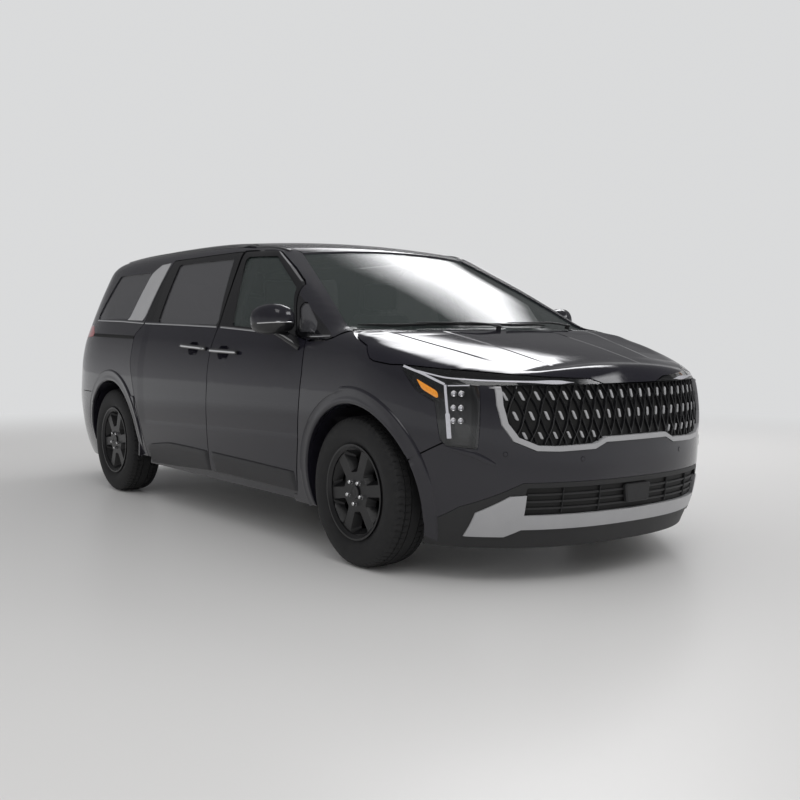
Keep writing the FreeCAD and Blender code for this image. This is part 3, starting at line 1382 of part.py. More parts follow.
# Under the body: frame, engine, knuckles, axle, exhaust and tank
keep("front_frame", make_front_frame())
keep("engine_block", share_block(engine_shares))
keep_pair("knuckle", make_knuckle())
keep("rear_axle", make_rear_axle().cut(share_block(arm_room_shares)))
keep("exhaust", make_exhaust())
keep("fuel_tank", share_block(tank_shares))

# Mirrors, wheels and tyres
keep_pair("mirror", make_mirror().cut(door))
wheel = make_wheel()
tyre = make_tyre()
for end, axle_x in (("front", front_axle_x), ("rear", rear_axle_x)):
    for piece, shape in (("wheel", wheel), ("tyre", tyre)):
        placed = shape.copy()
        placed.translate(Vector(axle_x, -track / 2, tyre_radius))
        keep_pair(piece + "_" + end, placed)

os.makedirs("parts", exist_ok=True)
for name, shape in nodes.items():
    shape.exportStep("parts/" + name + ".step")
print(len(nodes), "nodes")
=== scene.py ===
import json
import math

import bmesh
import bpy
import numpy as np
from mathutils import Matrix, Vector
from mathutils.bvhtree import BVHTree


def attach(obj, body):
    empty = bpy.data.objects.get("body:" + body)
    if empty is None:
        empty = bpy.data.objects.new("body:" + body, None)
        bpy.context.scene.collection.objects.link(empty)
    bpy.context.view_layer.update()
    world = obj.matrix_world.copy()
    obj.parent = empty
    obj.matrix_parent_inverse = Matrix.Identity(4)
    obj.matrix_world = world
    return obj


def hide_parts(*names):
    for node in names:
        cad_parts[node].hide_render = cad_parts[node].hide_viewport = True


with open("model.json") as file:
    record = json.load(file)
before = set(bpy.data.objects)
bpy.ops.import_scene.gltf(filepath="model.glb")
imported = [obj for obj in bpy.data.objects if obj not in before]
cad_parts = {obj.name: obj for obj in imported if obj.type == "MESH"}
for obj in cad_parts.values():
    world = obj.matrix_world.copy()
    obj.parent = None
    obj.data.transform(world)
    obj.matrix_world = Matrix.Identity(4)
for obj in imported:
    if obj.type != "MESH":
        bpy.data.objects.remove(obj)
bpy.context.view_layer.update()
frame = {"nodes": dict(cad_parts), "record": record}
nodes = frame["nodes"]
print("frame loaded,", len(nodes), "nodes")


# shader wires with arithmetic
class Wire:
    def __init__(self, recipe, socket):
        self.recipe = recipe
        self.socket = socket

    def math(self, operation, other, flip=False):
        first, second = (other, self) if flip else (self, other)
        return self.recipe.node("ShaderNodeMath", {"operation": operation}, {0: first, 1: second})

    def __add__(self, other):
        return self.math("ADD", other)

    def __sub__(self, other):
        return self.math("SUBTRACT", other)

    def __rsub__(self, other):
        return self.math("SUBTRACT", other, True)

    def __mul__(self, other):
        return self.math("MULTIPLY", other)

    __radd__ = __add__
    __rmul__ = __mul__


# the shader's sockets, by the words that the finishes use for them
shaderSockets = {"colour": "Base Color", "roughness": "Roughness", "metallic": "Metallic",
                 "coat": "Coat Weight", "coatRoughness": "Coat Roughness", "alpha": "Alpha", "ior": "IOR",
                 "glow": "Emission Color", "glowStrength": "Emission Strength", "normal": "Normal",
                 "sheen": "Sheen Weight", "specular": "Specular IOR Level"}


# one material: its node tree and the one way nodes get into it
class Recipe:
    def __init__(self, name):
        self.material = bpy.data.materials.new(name)
        self.material.use_nodes = True
        self.tree = self.material.node_tree
        self.tree.nodes.clear()

    def node(self, kind, settings=None, inputs=None, out=0):
        made = self.tree.nodes.new(kind)
        for key, value in (settings or {}).items():
            setattr(made, key, value)
        for key, value in (inputs or {}).items():
            if isinstance(value, Wire):
                self.tree.links.new(value.socket, made.inputs[key])
            else:
                made.inputs[key].default_value = value
        return Wire(self, made.outputs[out])

    def place(self):
        return self.node("ShaderNodeTexCoord", out="Object")

    def axes(self):
        place = self.place()
        return [self.node("ShaderNodeSeparateXYZ", None, {0: place}, out=i) for i in range(3)]

    def noise(self, scale, detail=3.0, rough=0.5):
        inputs = {"Vector": self.place(), "Scale": scale, "Detail": detail, "Roughness": rough}
        return self.node("ShaderNodeTexNoise", None, inputs)

    def mix(self, factor, first, second):
        first, second = [(*c, 1) if isinstance(c, tuple) else c for c in (first, second)]
        return self.node("ShaderNodeMix", {"data_type": "RGBA"}, {0: factor, 6: first, 7: second}, out=2)

    # 0 below low, 1 above high, a straight or smooth ramp between
    def ramp(self, value, low, high, smooth=False):
        settings = {"clamp": True, "interpolation_type": "SMOOTHSTEP" if smooth else "LINEAR"}
        return self.node("ShaderNodeMapRange", settings, {0: value, 1: low, 2: high, 3: 0.0, 4: 1.0})

    def bump(self, height, distance, strength=1.0):
        inputs = {"Height": height, "Distance": distance, "Strength": strength}
        return self.node("ShaderNodeBump", None, inputs)

    def finish(self, **sockets):
        inputs = {}
        for key, value in sockets.items():
            inputs[shaderSockets[key]] = (*value, 1) if isinstance(value, tuple) else value
        shader = self.node("ShaderNodeBsdfPrincipled", None, inputs)
        output = self.tree.nodes.new("ShaderNodeOutputMaterial")
        self.tree.links.new(shader.socket, output.inputs["Surface"])
        return self.material


# the glass line along the side as a parabola, and the foot of the windshield pillar as a straight line
beltSet = {"level": 1.234, "rearX": -1.92, "frontX": 0.173, "slope": 0.0296, "bend": 0.0102, "edge": 0.002}
pillarSet = {"level": 1.312, "x": 1.028, "slope": 0.5, "edge": 0.003, "fromX": (0.90, 0.92)}


# height of the glass line: the level at the rear, less a slope and a bend that is nought at both places
def beltLine(x):
    s = beltSet
    along = x - s["rearX"]
    return s["level"] - s["slope"] * along - s["bend"] * along * (x - s["frontX"])


# lower edge of the windshield pillar, above which the body is painted again
def pillarFoot(x):
    return pillarSet["level"] - pillarSet["slope"] * (x - pillarSet["x"])


colours = {"paint": (0.0095, 0.0090, 0.0135), "paintLight": (0.0150, 0.0142, 0.0205),
           "blackGloss": (0.006, 0.006, 0.007), "gloss": (0.004, 0.004, 0.005),
           "glossDust": (0.010, 0.010, 0.011), "rubber": (0.0075, 0.0075, 0.0085),
           "rubberDust": (0.015, 0.0148, 0.0150), "cloth": (0.030, 0.031, 0.034),
           "clothLight": (0.052, 0.053, 0.057), "cast": (0.21, 0.21, 0.22), "steel": (0.33, 0.33, 0.34)}

# each crease: both its ends as (along, across), its softness and its depth
creaseSet = {"hood": [((1.52, 0.725), (2.20, 0.530), 0.020, -0.0035),
                      ((1.58, 0.375), (2.34, 0.300), 0.016, -0.0032)],
             "doors": [((-0.95, 0.520), (1.35, 0.590), 0.030, -0.0030)], "fades": (0.10, 0.16)}


# creases are steps in the bump height: d is the distance past the crease, and the step fades out at
# both its ends
def creaseHeight(r, lines, along, across):
    total = 0.0
    start, end = creaseSet["fades"]
    for (a0, b0), (a1, b1), soft, depth in lines:
        d = across - b0 - (along - a0) * ((b1 - b0) / (a1 - a0))
        fade = r.ramp(along, a0, a0 + start) * r.ramp(along, a1, a1 - end)
        total = r.ramp(d, 0.0, soft) * fade * depth + total
    return total


paintSet = {"flakeScale": 900.0, "flakes": (0.42, 0.62), "peelScale": 55.0, "peel": 0.0004,
            "frameRoughness": 0.16, "capEdge": 0.002}


# flakes from one noise and orange peel from another; black above the glass line or below the mirror's seam
def paintMaterial(name, frames="", lower=0.0, creases=None):
    s = paintSet
    r = Recipe(name)
    x, y, z = r.axes()
    flake = r.noise(s["flakeScale"], 1.0)
    peel = r.noise(s["peelScale"], 2.0)
    colour = r.mix(r.ramp(flake, *s["flakes"]), colours["paint"], colours["paintLight"])
    roughness = 0.34 + 0.10 * r.noise(1400.0, 0.0)
    if frames:
        above = r.ramp(z - beltLine(x), -beltSet["edge"], beltSet["edge"])
        if frames == "pillar":
            above = above * r.ramp(pillarFoot(x) - z, -pillarSet["edge"], pillarSet["edge"])
            above = above * r.ramp(x, *pillarSet["fromX"])
        colour = r.mix(above, colour, colours["blackGloss"])
        roughness = roughness * (1 - above) + s["frameRoughness"] * above
    if lower:
        below = r.ramp(z, lower, lower - s["capEdge"])
        colour = r.mix(below, colour, colours["blackGloss"])
    if creases:
        across = y.math("ABSOLUTE", 0.0) if creases == "hood" else z
        height = creaseHeight(r, creaseSet[creases], x, across)
        shape = r.bump(height + peel * (s["peel"] * 0.1), 1.0)
        return r.finish(colour=colour, roughness=0.05 + 0.03 * flake, coat=0.0, specular=0.5, normal=shape)
    return r.finish(colour=colour, roughness=roughness, coat=1.0, coatRoughness=0.04, specular=0.12,
                    normal=r.bump(peel, s["peel"], 0.10))


# dust as one noise that lightens the gloss and dulls it
def blackGlossMaterial():
    r = Recipe("blackGloss")
    dust = r.noise(14.0, 5.0, 0.6)
    return r.finish(colour=r.mix(dust, colours["gloss"], colours["glossDust"]), roughness=0.10 + 0.10 * dust,
                    coat=0.6, coatRoughness=0.03, normal=r.bump(r.noise(60.0), 0.0003, 0.1))


# grain as a fine noise in the bump and the roughness, and a slow cloud in the colour
def plasticMaterial(name, dark, light, roughness):
    r = Recipe(name)
    grain = r.noise(1100.0, 2.0, 0.7)
    cloud = r.noise(9.0, 4.0, 0.6)
    return r.finish(colour=r.mix(cloud, dark, light), roughness=roughness + 0.12 * grain,
                    normal=r.bump(grain, 0.0004, 0.5))


# the same for metal, whose cloud darkens its colour by a fifth
def metalMaterial(name, colour, roughness):
    r = Recipe(name)
    cloud = r.noise(22.0, 5.0, 0.6)
    grain = r.noise(420.0, 2.0, 0.6)
    shade = tuple(c * 0.82 for c in colour)
    return r.finish(colour=r.mix(cloud, shade, colour), roughness=roughness + 0.12 * grain, metallic=1.0,
                    normal=r.bump(grain, 0.0003, 0.25))


# a faint smear changes how rough and how clear the glass is
def glassMaterial(name, tint, alpha):
    r = Recipe(name)
    smear = r.noise(6.0, 5.0, 0.6)
    return r.finish(colour=tint, roughness=0.015 + 0.03 * smear, alpha=alpha + 0.02 * smear, ior=2.1,
                    coat=0.5, coatRoughness=0.02)


# ribs across the seat and a fine weave, both in the bump; the weave also lightens the cloth in patches
def clothMaterial():
    r = Recipe("seatCloth")
    weave = r.noise(700.0, 2.0, 0.7)
    patch = r.noise(18.0, 4.0, 0.6)
    rib = r.node("ShaderNodeTexWave", {"wave_type": "BANDS", "bands_direction": "Y"},
                 {"Vector": r.place(), "Scale": 90.0, "Distortion": 1.2, "Detail": 2.0}, out=1)
    height = weave * 0.5 + rib * 0.5
    return r.finish(colour=r.mix(0.5 * patch + 0.5 * weave, colours["cloth"], colours["clothLight"]),
                    roughness=0.78 + 0.12 * weave, sheen=0.25, normal=r.bump(height, 0.0008, 0.5))


# dust as a noise that pales the rubber above a threshold
def rubberMaterial():
    r = Recipe("tyreRubber")
    dust = r.noise(24.0, 6.0, 0.65)
    grain = r.noise(900.0, 2.0)
    return r.finish(colour=r.mix(r.ramp(dust, 0.4, 0.75), colours["rubber"], colours["rubberDust"]),
                    roughness=0.62 + 0.16 * dust, normal=r.bump(grain, 0.0003, 0.4))


# coloured lens with a faint painted glow, though the lamp behind it is not lit
def paintedGlowLensMaterial(name, colour, strength, roughness=0.25):
    r = Recipe(name)
    fleck = r.noise(160.0, 2.0, 0.5)
    dim = tuple(c * 0.8 for c in colour)
    return r.finish(colour=r.mix(fleck, dim, colour), roughness=roughness + 0.05 * fleck, glow=colour,
                    glowStrength=strength, coat=1.0)


materials = {
    "paint": paintMaterial("paint"),
    "paintDoors": paintMaterial("paintDoors", frames="belt", creases="doors"),
    "paintSides": paintMaterial("paintSides", frames="pillar"),
    # the body paint darkened and without its coat, for the door mouldings: painted shade where they face
    # down into the shadow under the vehicle
    "paintShadedCopy": plasticMaterial("paintShadedCopy", (0.0080, 0.0078, 0.0100), (0.0115, 0.0112, 0.0140), 0.36),
    "paintHood": paintMaterial("paintHood", creases="hood"),
    "black_gloss": blackGlossMaterial(),
    "dark_plastic": plasticMaterial("darkPlastic", (0.012, 0.012, 0.013), (0.019, 0.019, 0.020), 0.48),
    "cabin": plasticMaterial("cabinPlastic", (0.022, 0.022, 0.024), (0.034, 0.034, 0.036), 0.62),
    "satin_silver": plasticMaterial("satinSilver", (0.33, 0.33, 0.34), (0.39, 0.39, 0.40), 0.28),
    "chrome": metalMaterial("brightTrim", (0.72, 0.72, 0.73), 0.08),
    "lamp_lens": glassMaterial("smokedLens", (0.010, 0.011, 0.012), 0.42),
    # red lenses with a faint painted glow
    "red_lens": paintedGlowLensMaterial("redLens", (0.34, 0.010, 0.014), 0.12, 0.08),
    "clear_glass": glassMaterial("clearGlass", (0.040, 0.054, 0.051), 0.44),
    "tinted_glass": glassMaterial("tintedGlass", (0.068, 0.068, 0.074), 0.80),
    "seat_cloth": clothMaterial(),
    "underbody": plasticMaterial("underbodyCoat", (0.010, 0.010, 0.010), (0.020, 0.019, 0.018), 0.75),
    "cast_metal": metalMaterial("castMetal", colours["cast"], 0.46),
    "steel": metalMaterial("darkSteel", colours["steel"], 0.34),
    "wheel_black": plasticMaterial("wheelBlack", (0.0045, 0.0045, 0.0052), (0.0075, 0.0075, 0.0082), 0.28),
    "tyre_rubber": rubberMaterial(),
    # light guides and amber markers, also with a faint painted glow
    "lightGuide": paintedGlowLensMaterial("lightGuide", (0.50, 0.50, 0.54), 0.10),
    "amber": paintedGlowLensMaterial("amberLens", (0.80, 0.28, 0.015), 0.12),
    # near black, darker than any plastic: painted shade that fills the grille openings and the slot of the
    # door rail
    "nearBlackShade": plasticMaterial("nearBlackShade", (0.003, 0.003, 0.003), (0.006, 0.006, 0.006), 0.60),
    "reflector": metalMaterial("reflector", (0.80, 0.80, 0.82), 0.10),
    "mirrorCap": paintMaterial("mirrorCap", lower=1.192),
}

# each node wears the finish of its slot, but the hood, the sides and the doors have creases or black
# window frames, the dashboard a finish of its own, and the grilles' backs a near black that is painted shade
ownFinish = {"hood": "paintHood", "dashboard": "cabin", "upper_grille": "nearBlackShade",
             "lower_grille": "nearBlackShade"}
for side in ("left", "right"):
    ownFinish["body_side_" + side] = "paintSides"
    ownFinish["front_door_" + side] = ownFinish["sliding_door_" + side] = "paintDoors"
for part in frame["record"]["subparts"]:
    material = materials[ownFinish.get(part["node"], part["material_slot"])]
    for slot in nodes[part["node"]].material_slots:
        slot.material = material
print("finishes set")


# shapes are (points, faces); a grid joins neighbouring points by quads
def gridShape(points, wrapU=False, wrapV=False, capped=False):
    rows, columns = points.shape[:2]
    index = np.arange(rows * columns).reshape(rows, columns)
    caps = [index[0].tolist(), index[-1][::-1].tolist()] if capped else []
    if wrapU:
        index = np.vstack([index, index[:1]])
    if wrapV:
        index = np.hstack([index, index[:, :1]])
    quads = np.stack([index[:-1, :-1], index[1:, :-1], index[1:, 1:], index[:-1, 1:]], -1).reshape(-1, 4)
    return points.reshape(-1, 3), quads.tolist() + caps


# several shapes as one
def merged(shapes):
    points, faces, start = [], [], 0
    for shapePoints, shapeFaces in shapes:
        points.append(shapePoints)
        faces += [[i + start for i in face] for face in shapeFaces]
        start += len(shapePoints)
    return np.vstack(points), faces


# the same shape on the other side of the vehicle, turned so that its faces still point outwards
def flipped(shape):
    return shape[0] * np.array([1, -1, 1]), [face[::-1] for face in shape[1]]


# a shape of the right side and its mirror image as one
def pair(shape):
    return merged([shape, flipped(shape)])


# a shape of the right side and its mirror image, each with the name of its side
def bothSides(shape):
    return ("right", shape), ("left", flipped(shape))


# vectors divided by their lengths
def unit(vectors):
    return vectors / np.maximum(np.linalg.norm(vectors, axis=-1, keepdims=True), 1e-9)


# distance from the middle of a line, 0 there and 1 at both its ends, as a column
def fromMiddle(count):
    return np.abs(np.linspace(-1, 1, count))[:, None]


besideY = -1.2


# a grid of points from their places along, their heights and their place sideways, beside the right side
# where none is given
def sideGrid(x, z, y=besideY):
    return np.stack(np.broadcast_arrays(x, y, z), -1)


# a line rounded by averaging each point with its neighbours; its ends stay
def softened(line, times):
    for _ in range(times):
        line[1:-1] = (line[:-2] + 2 * line[1:-1] + line[2:]) / 4
    return line


# points spread evenly by length along a line through the corners; soft rounds the corners
def resample(corners, count, soft=0):
    corners = np.asarray(corners, float)
    steps = np.r_[0, np.cumsum(np.linalg.norm(np.diff(corners, axis=0), axis=1))]
    places = np.linspace(0, steps[-1], count)
    line = np.stack([np.interp(places, steps, corners[:, i]) for i in range(corners.shape[1])], -1)
    return softened(line, soft)


# the same round a closed outline
def resampleRing(corners, count, soft=0):
    return resample(np.vstack([corners, corners[:1]]), count + 1, soft)[:-1]


# a closed profile (side, up) carried along a path; up follows the normals, scale shrinks it along the way
def sweep(path, profile, normals, scale=None):
    path = np.asarray(path, float)
    along = unit(np.gradient(path, axis=0))
    across = unit(np.cross(np.broadcast_to(np.asarray(normals, float), path.shape), along))
    up = np.cross(along, across)
    profile = np.asarray(profile, float)[None]
    if scale is not None:
        profile = profile * np.asarray(scale, float).reshape(len(path), 1, -1)
    points = path[:, None] + profile[..., :1] * across[:, None] + profile[..., 1:] * up[:, None]
    return gridShape(points, wrapV=True, capped=True)


# rounded rectangle of width and height, as a superellipse
def pill(width, height, count=12, power=4.0):
    t = np.linspace(0, 2 * np.pi, count, endpoint=False)
    c, s = np.cos(t), np.sin(t)
    size = (np.abs(c) ** power + np.abs(s) ** power) ** (-1 / power)
    return np.stack([width / 2 * c * size, height / 2 * s * size], -1)


# a profile of (radius, height) turned round an axis through the centre; facets pulls the round towards
# a polygon
def turned(profile, centre, axis, count=32, facets=0):
    profile = np.asarray(profile, float)
    axis = unit(np.asarray(axis, float))
    first = unit(np.cross(axis, [0.31, 0.52, 0.79]))
    second = np.cross(axis, first)
    t = np.linspace(0, 2 * np.pi, count, endpoint=False)
    radius = np.broadcast_to(profile[:, :1], (len(profile), count)).copy()
    if facets:
        step = np.pi / facets
        radius *= np.cos(step) / np.cos((t + step) % (2 * step) - step)
    ring = np.cos(t)[:, None] * first + np.sin(t)[:, None] * second
    points = np.asarray(centre, float) + radius[..., None] * ring[None] + profile[:, 1:, None] * axis
    return gridShape(points, wrapV=True, capped=True)


trees = {}


# each point is carried along the direction onto the nearest of the named nodes; a miss comes back as nan
def land(names, points, direction):
    for name in names:
        if name not in trees:
            mesh = nodes[name].data
            corners = [v.co for v in mesh.vertices]
            trees[name] = BVHTree.FromPolygons(corners, [p.vertices for p in mesh.polygons])
    aim = Vector(direction).normalized()
    places, normals, owners = [], [], []
    for point in np.asarray(points, float).reshape(-1, 3):
        start = Vector(point) - aim * 3
        hits = [(trees[name].ray_cast(start, aim), name) for name in names]
        hits = [(hit, name) for hit, name in hits if hit[0] is not None]
        hit, name = min(hits, key=lambda found: found[0][3]) if hits else ((Vector([np.nan] * 3),) * 2, "")
        places.append(hit[0][:])
        normals.append(hit[1][:])
        owners.append(name)
    return np.array(places), np.array(normals), np.array(owners)


# the same for a grid, with the places in the grid's own form
def landGrid(names, grid, direction):
    return land(names, grid, direction)[0].reshape(grid.shape)


# a line on the outside of the named nodes, with the normals there; misses are filled from their neighbours
def lineOn(names, corners, count, direction, soft=0, lift=0.0):
    path = resample(corners, count, soft)
    places, normals, _ = land(names, path, direction)
    good = ~np.isnan(places[:, 0])
    order = np.arange(count)
    for array in (places, normals):
        for i in range(3):
            array[:, i] = np.interp(order, order[good], array[good, i])
    padded = np.pad(normals, ((3, 3), (0, 0)), "edge")
    normals = unit(sum(padded[i:i + count] for i in range(7)))
    return places + normals * lift, normals


# a new object in the scene, at the origin
def placed(name, data):
    made = bpy.data.objects.new(name, data)
    bpy.context.collection.objects.link(made)
    return made


# a shape made an object that rides on its body; a closed one gets its faces turned outwards
def piece(name, shape, body, material, solid=0.0, angle=35, closed=True):
    points, faces = shape
    mesh = bpy.data.meshes.new(name)
    mesh.from_pydata(np.asarray(points).tolist(), [], faces)
    work = bmesh.new()
    work.from_mesh(mesh)
    bmesh.ops.remove_doubles(work, verts=work.verts, dist=1e-6)
    if closed:
        bmesh.ops.recalc_face_normals(work, faces=work.faces)
    work.to_mesh(mesh)
    work.free()
    mesh.shade_smooth()
    mesh.set_sharp_from_angle(angle=math.radians(angle))
    mesh.materials.append(materials[material])
    made = placed(name, mesh)
    if solid:
        modifier = made.modifiers.new("thickness", "SOLIDIFY")
        modifier.thickness = solid
        modifier.offset = 1.0
    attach(made, body)
    return made


# flat plate with rounded outline: corners (n, 3) in one plane, raised along the normal
def plate(corners, normal, thickness, soft=2, count=40):
    ring = resampleRing(corners, count)
    for _ in range(soft):
        ring = (np.roll(ring, 1, 0) + 2 * ring + np.roll(ring, -1, 0)) / 4
    normal = unit(np.asarray(normal, float))
    centre = ring.mean(0)
    rows = [centre + (ring - centre) * k + normal * h
            for k, h in ((1.0, 0.0), (1.0, 0.7 * thickness), (0.9, thickness))]
    return gridShape(np.array(rows), wrapV=True, capped=True)


sides = {"left": 1, "right": -1}
wheelSet = {"frontX": 1.6425, "rearX": -1.4475, "track": 0.87, "axleZ": 0.368}
wheelPlaces = {(end, side): (wheelSet[end + "X"], wheelSet["track"] * out, wheelSet["axleZ"])
               for end in ("front", "rear") for side, out in sides.items()}

# the wall as (radius, half width) from the bead to the shoulder; grooves as shares of the tread's half
tyreSet = {"radius": 0.368, "crownHalf": 0.0925, "crownDrop": 0.0085,
           "wall": [(0.2185, 0.094), (0.236, 0.0985), (0.262, 0.1125), (0.288, 0.1172), (0.312, 0.1155),
                    (0.334, 0.1105), (0.348, 0.1035), (0.357, 0.0965)],
           "grooves": (-0.30, 0.30, -0.66, 0.66), "grooveFoot": 0.018, "grooveHalf": 0.023,
           "grooveEdge": 0.026, "grooveDepth": 0.0075, "pitches": 68, "sipeFrom": 0.34, "sipeDepth": 0.0055,
           "shoulder": 0.343, "ribDepth": 0.003}


# half section of the tyre from bead to crown, then round the wheel; across the tread the radius falls
# with the fourth power of the distance from the middle, grooves and cross cuts are pulses taken off it
def tyreShape(centre, out):
    s = tyreSet
    wall = resample(s["wall"], 26, 2)
    edges = np.array(s["grooves"])
    foot, edge = s["grooveFoot"], s["grooveEdge"]
    tread = np.sort(np.unique(np.round(np.r_[np.linspace(-1, 1, 25), edges - edge, edges - foot,
                                             edges + foot, edges + edge], 4)))
    crown = s["radius"] - s["crownDrop"] * np.abs(tread) ** 4
    radius = np.r_[wall[:, 0], crown, wall[::-1, 0], s["wall"][0][0]]
    across = np.r_[-wall[:, 1], tread * s["crownHalf"], wall[::-1, 1], 0.0]
    onTread = np.r_[np.zeros(26), np.ones(len(tread)), np.zeros(27)]
    position = np.r_[-np.ones(26), tread, np.ones(27)]
    groove = (np.abs(position[:, None] - edges).min(1) < s["grooveHalf"]) * onTread
    turns = 5 * s["pitches"]
    t = np.linspace(0, 2 * np.pi, turns, endpoint=False)
    step = np.arange(turns)[:, None] / 5
    phase = (step + 0.5 * np.abs(position) + 0.25 * (position > 0)) % 1
    cut = (phase < 0.2) * onTread * (np.abs(position) > s["sipeFrom"])
    ribs = ((step + 0.5) % 1 < 0.2) * ((radius > s["shoulder"]) * (1 - onTread))
    depth = np.maximum(groove * s["grooveDepth"], cut * s["sipeDepth"])
    radius = radius - depth - ribs * s["ribDepth"]
    across = np.broadcast_to(across, radius.shape) * (1 - 0.012 * ribs)
    points = np.stack([centre[0] + radius * np.sin(t)[:, None], centre[1] + out * across,
                       centre[2] + radius * np.cos(t)[:, None]], -1)
    return gridShape(points, wrapU=True, wrapV=True)


for (end, side), centre in wheelPlaces.items():
    tyre = piece(f"tread_{end}_{side}", tyreShape(centre, sides[side]), f"wheel_{end}_{side}",
                 "tyre_rubber", angle=40)
    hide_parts(f"tyre_{end}_{side}")
print("tyres made")

# nut and cap as (radius, height) on the hub's face
lugSet = {"count": 5, "circle": 0.05715, "face": 0.0898,
          "nut": [(0.0125, 0.0), (0.0125, 0.004), (0.0108, 0.005), (0.0108, 0.016), (0.0088, 0.0195),
                  (0.004, 0.021)],
          "cap": [(0.033, 0.0), (0.033, 0.006), (0.031, 0.008), (0.027, 0.0085), (0.025, 0.0075),
                  (0.012, 0.009), (0.003, 0.0095)]}
for (end, side), centre in wheelPlaces.items():
    s = lugSet
    out = (0, sides[side], 0)
    face = centre[1] + sides[side] * s["face"]
    lugs = []
    for i in range(s["count"]):
        turn = 2 * math.pi * i / s["count"] + math.pi
        place = (centre[0] + s["circle"] * math.sin(turn), face, centre[2] + s["circle"] * math.cos(turn))
        lugs.append(turned(s["nut"], place, out, 24, 6))
    cap = turned(s["cap"], (centre[0], face, centre[2]), out, 40)
    piece(f"lug_nuts_{end}_{side}", merged(lugs), f"wheel_{end}_{side}", "chrome")
    piece(f"hub_cap_{end}_{side}", cap, f"wheel_{end}_{side}", "wheel_black")
print("lug nuts and hub caps made")

grilleSet = {"pitch": 0.0652, "top": 0.857, "rise": 0.088, "rows": 3, "bars": 16, "barWidth": 0.0095,
             "barDepth": 0.013, "wave": 0.0035, "barForm": [(-0.5, -0.1), (-0.42, 0.35), (-0.16, 1.0),
                                                            (0.16, 1.0), (0.42, 0.35), (0.5, -0.1)],
             "inserts": 11, "insertHeight": 0.040, "insertWidth": 0.0115, "insertLift": 0.004,
             "insertDepth": 0.0055, "slant": 0.33, "slantAt": 0.30, "lowRowFrom": 0.26, "reach": 0.70,
             "fromX": 2.6, "facing": (0.96, 0.28)}
frontNames = ["upper_grille", "grille_surround", "front_bumper", "hood", "headlamps", "front_valance"]


# two families of steep bars that cross half way between the inserts; each bar is a straight line with
# one wave to two rows, carried back onto the grille and kept only where it lies in the opening
def makeLattice():
    s = grilleSet
    ahead, aside = s["facing"]
    z = np.linspace(s["top"] + 0.07, s["top"] - 3 * s["rise"], 56)
    profile = np.array(s["barForm"]) * (s["barWidth"], s["barDepth"])
    bars = []
    for lean in (-1, 1):
        for k in range(-s["bars"], s["bars"] + 1):
            turn = (s["top"] - z) / s["rise"]
            y = (k + 0.5) * s["pitch"] + lean * (s["pitch"] / 2 * turn + s["wave"] * np.sin(np.pi * turn))
            line = np.stack([np.full_like(z, s["fromX"]), y, z], -1)[np.abs(y) < s["reach"]]
            if len(line) < 4:
                continue
            places, _, owners = land(frontNames, line, (-1, 0, 0))
            run = np.flatnonzero(owners == "upper_grille")
            if len(run) < 5:
                continue
            path = places[run[0]:run[-1] + 1]
            bars.append(sweep(path, profile, unit(path * [0, aside, 0] + [ahead, 0, 0])))
    piece("grille_bars", merged(bars), "body", "black_gloss", angle=50)
    inserts = []
    for row in range(s["rows"]):
        z = s["top"] - row * s["rise"]
        for k in range(-s["inserts"], s["inserts"] + 1):
            y = (k + 0.5 * (row % 2)) * s["pitch"]
            lean = np.clip(y / s["slantAt"], -1, 1) * s["slant"] * s["insertHeight"] / 2
            tall = s["insertHeight"] / 2 * (1 if row < 2 else 0.8)
            wide = s["insertWidth"] / 2
            line = [(s["fromX"], y + lean - wide, z + tall), (s["fromX"], y + lean + wide, z + tall),
                    (s["fromX"], y - lean + wide, z - tall), (s["fromX"], y - lean - wide, z - tall)]
            places, _, owners = land(frontNames, line, (-1, 0, 0))
            if not (owners == "upper_grille").all() or (row == 2 and abs(y) < s["lowRowFrom"]):
                continue
            normal = unit(np.array([ahead, aside * y, 0.0]))
            corners = places + normal * s["insertLift"]
            inserts.append(plate(corners, normal, s["insertDepth"], soft=1, count=20))
    piece("grille_inserts", merged(inserts), "body", "satin_silver", angle=50)
    print("grille made,", len(bars), "bars,", len(inserts), "inserts")


makeLattice()

lowerSet = {"slats": (0.354, 0.385, 0.417), "slat": (0.010, 0.0045), "posts": (-0.23, -0.42, 0.23, 0.42),
            "post": (0.0045, 0.012), "postSpan": (0.332, 0.444), "radarHalf": 0.087, "radar": (0.352, 0.440),
            "radarFoot": 0.88, "radarDepth": 0.020, "reach": 0.572, "fromX": 2.7, "lift": 0.006}


# slats and posts of the lower grille, and a plain sensor block in the middle
def makeLowerGrille():
    s = lowerSet
    x, reach = s["fromX"], s["reach"]
    bars = [([(x, -reach, z), (x, reach, z)], 60, s["slat"]) for z in s["slats"]]
    bars += [([(x, y, z) for z in s["postSpan"]], 12, s["post"]) for y in s["posts"]]
    shapes = []
    for corners, count, size in bars:
        path, normals = lineOn(["lower_grille"], corners, count, (-1, 0, 0), lift=s["lift"])
        shapes.append(sweep(path, pill(*size), normals))
    piece("lower_grille_slats", merged(shapes), "body", "dark_plastic")
    low, high = s["radar"]
    half = s["radarHalf"]
    foot = half * s["radarFoot"]
    middle = land(["lower_grille"], [(x, 0, 0.4)], (-1, 0, 0))[0][0, 0] + s["lift"]
    corners = [(middle, -half, high), (middle, half, high), (middle, foot, low), (middle, -foot, low)]
    block = plate(corners, (1, 0, 0), s["radarDepth"], soft=3, count=64)
    piece("sensor_block", block, "body", "dark_plastic")


makeLowerGrille()

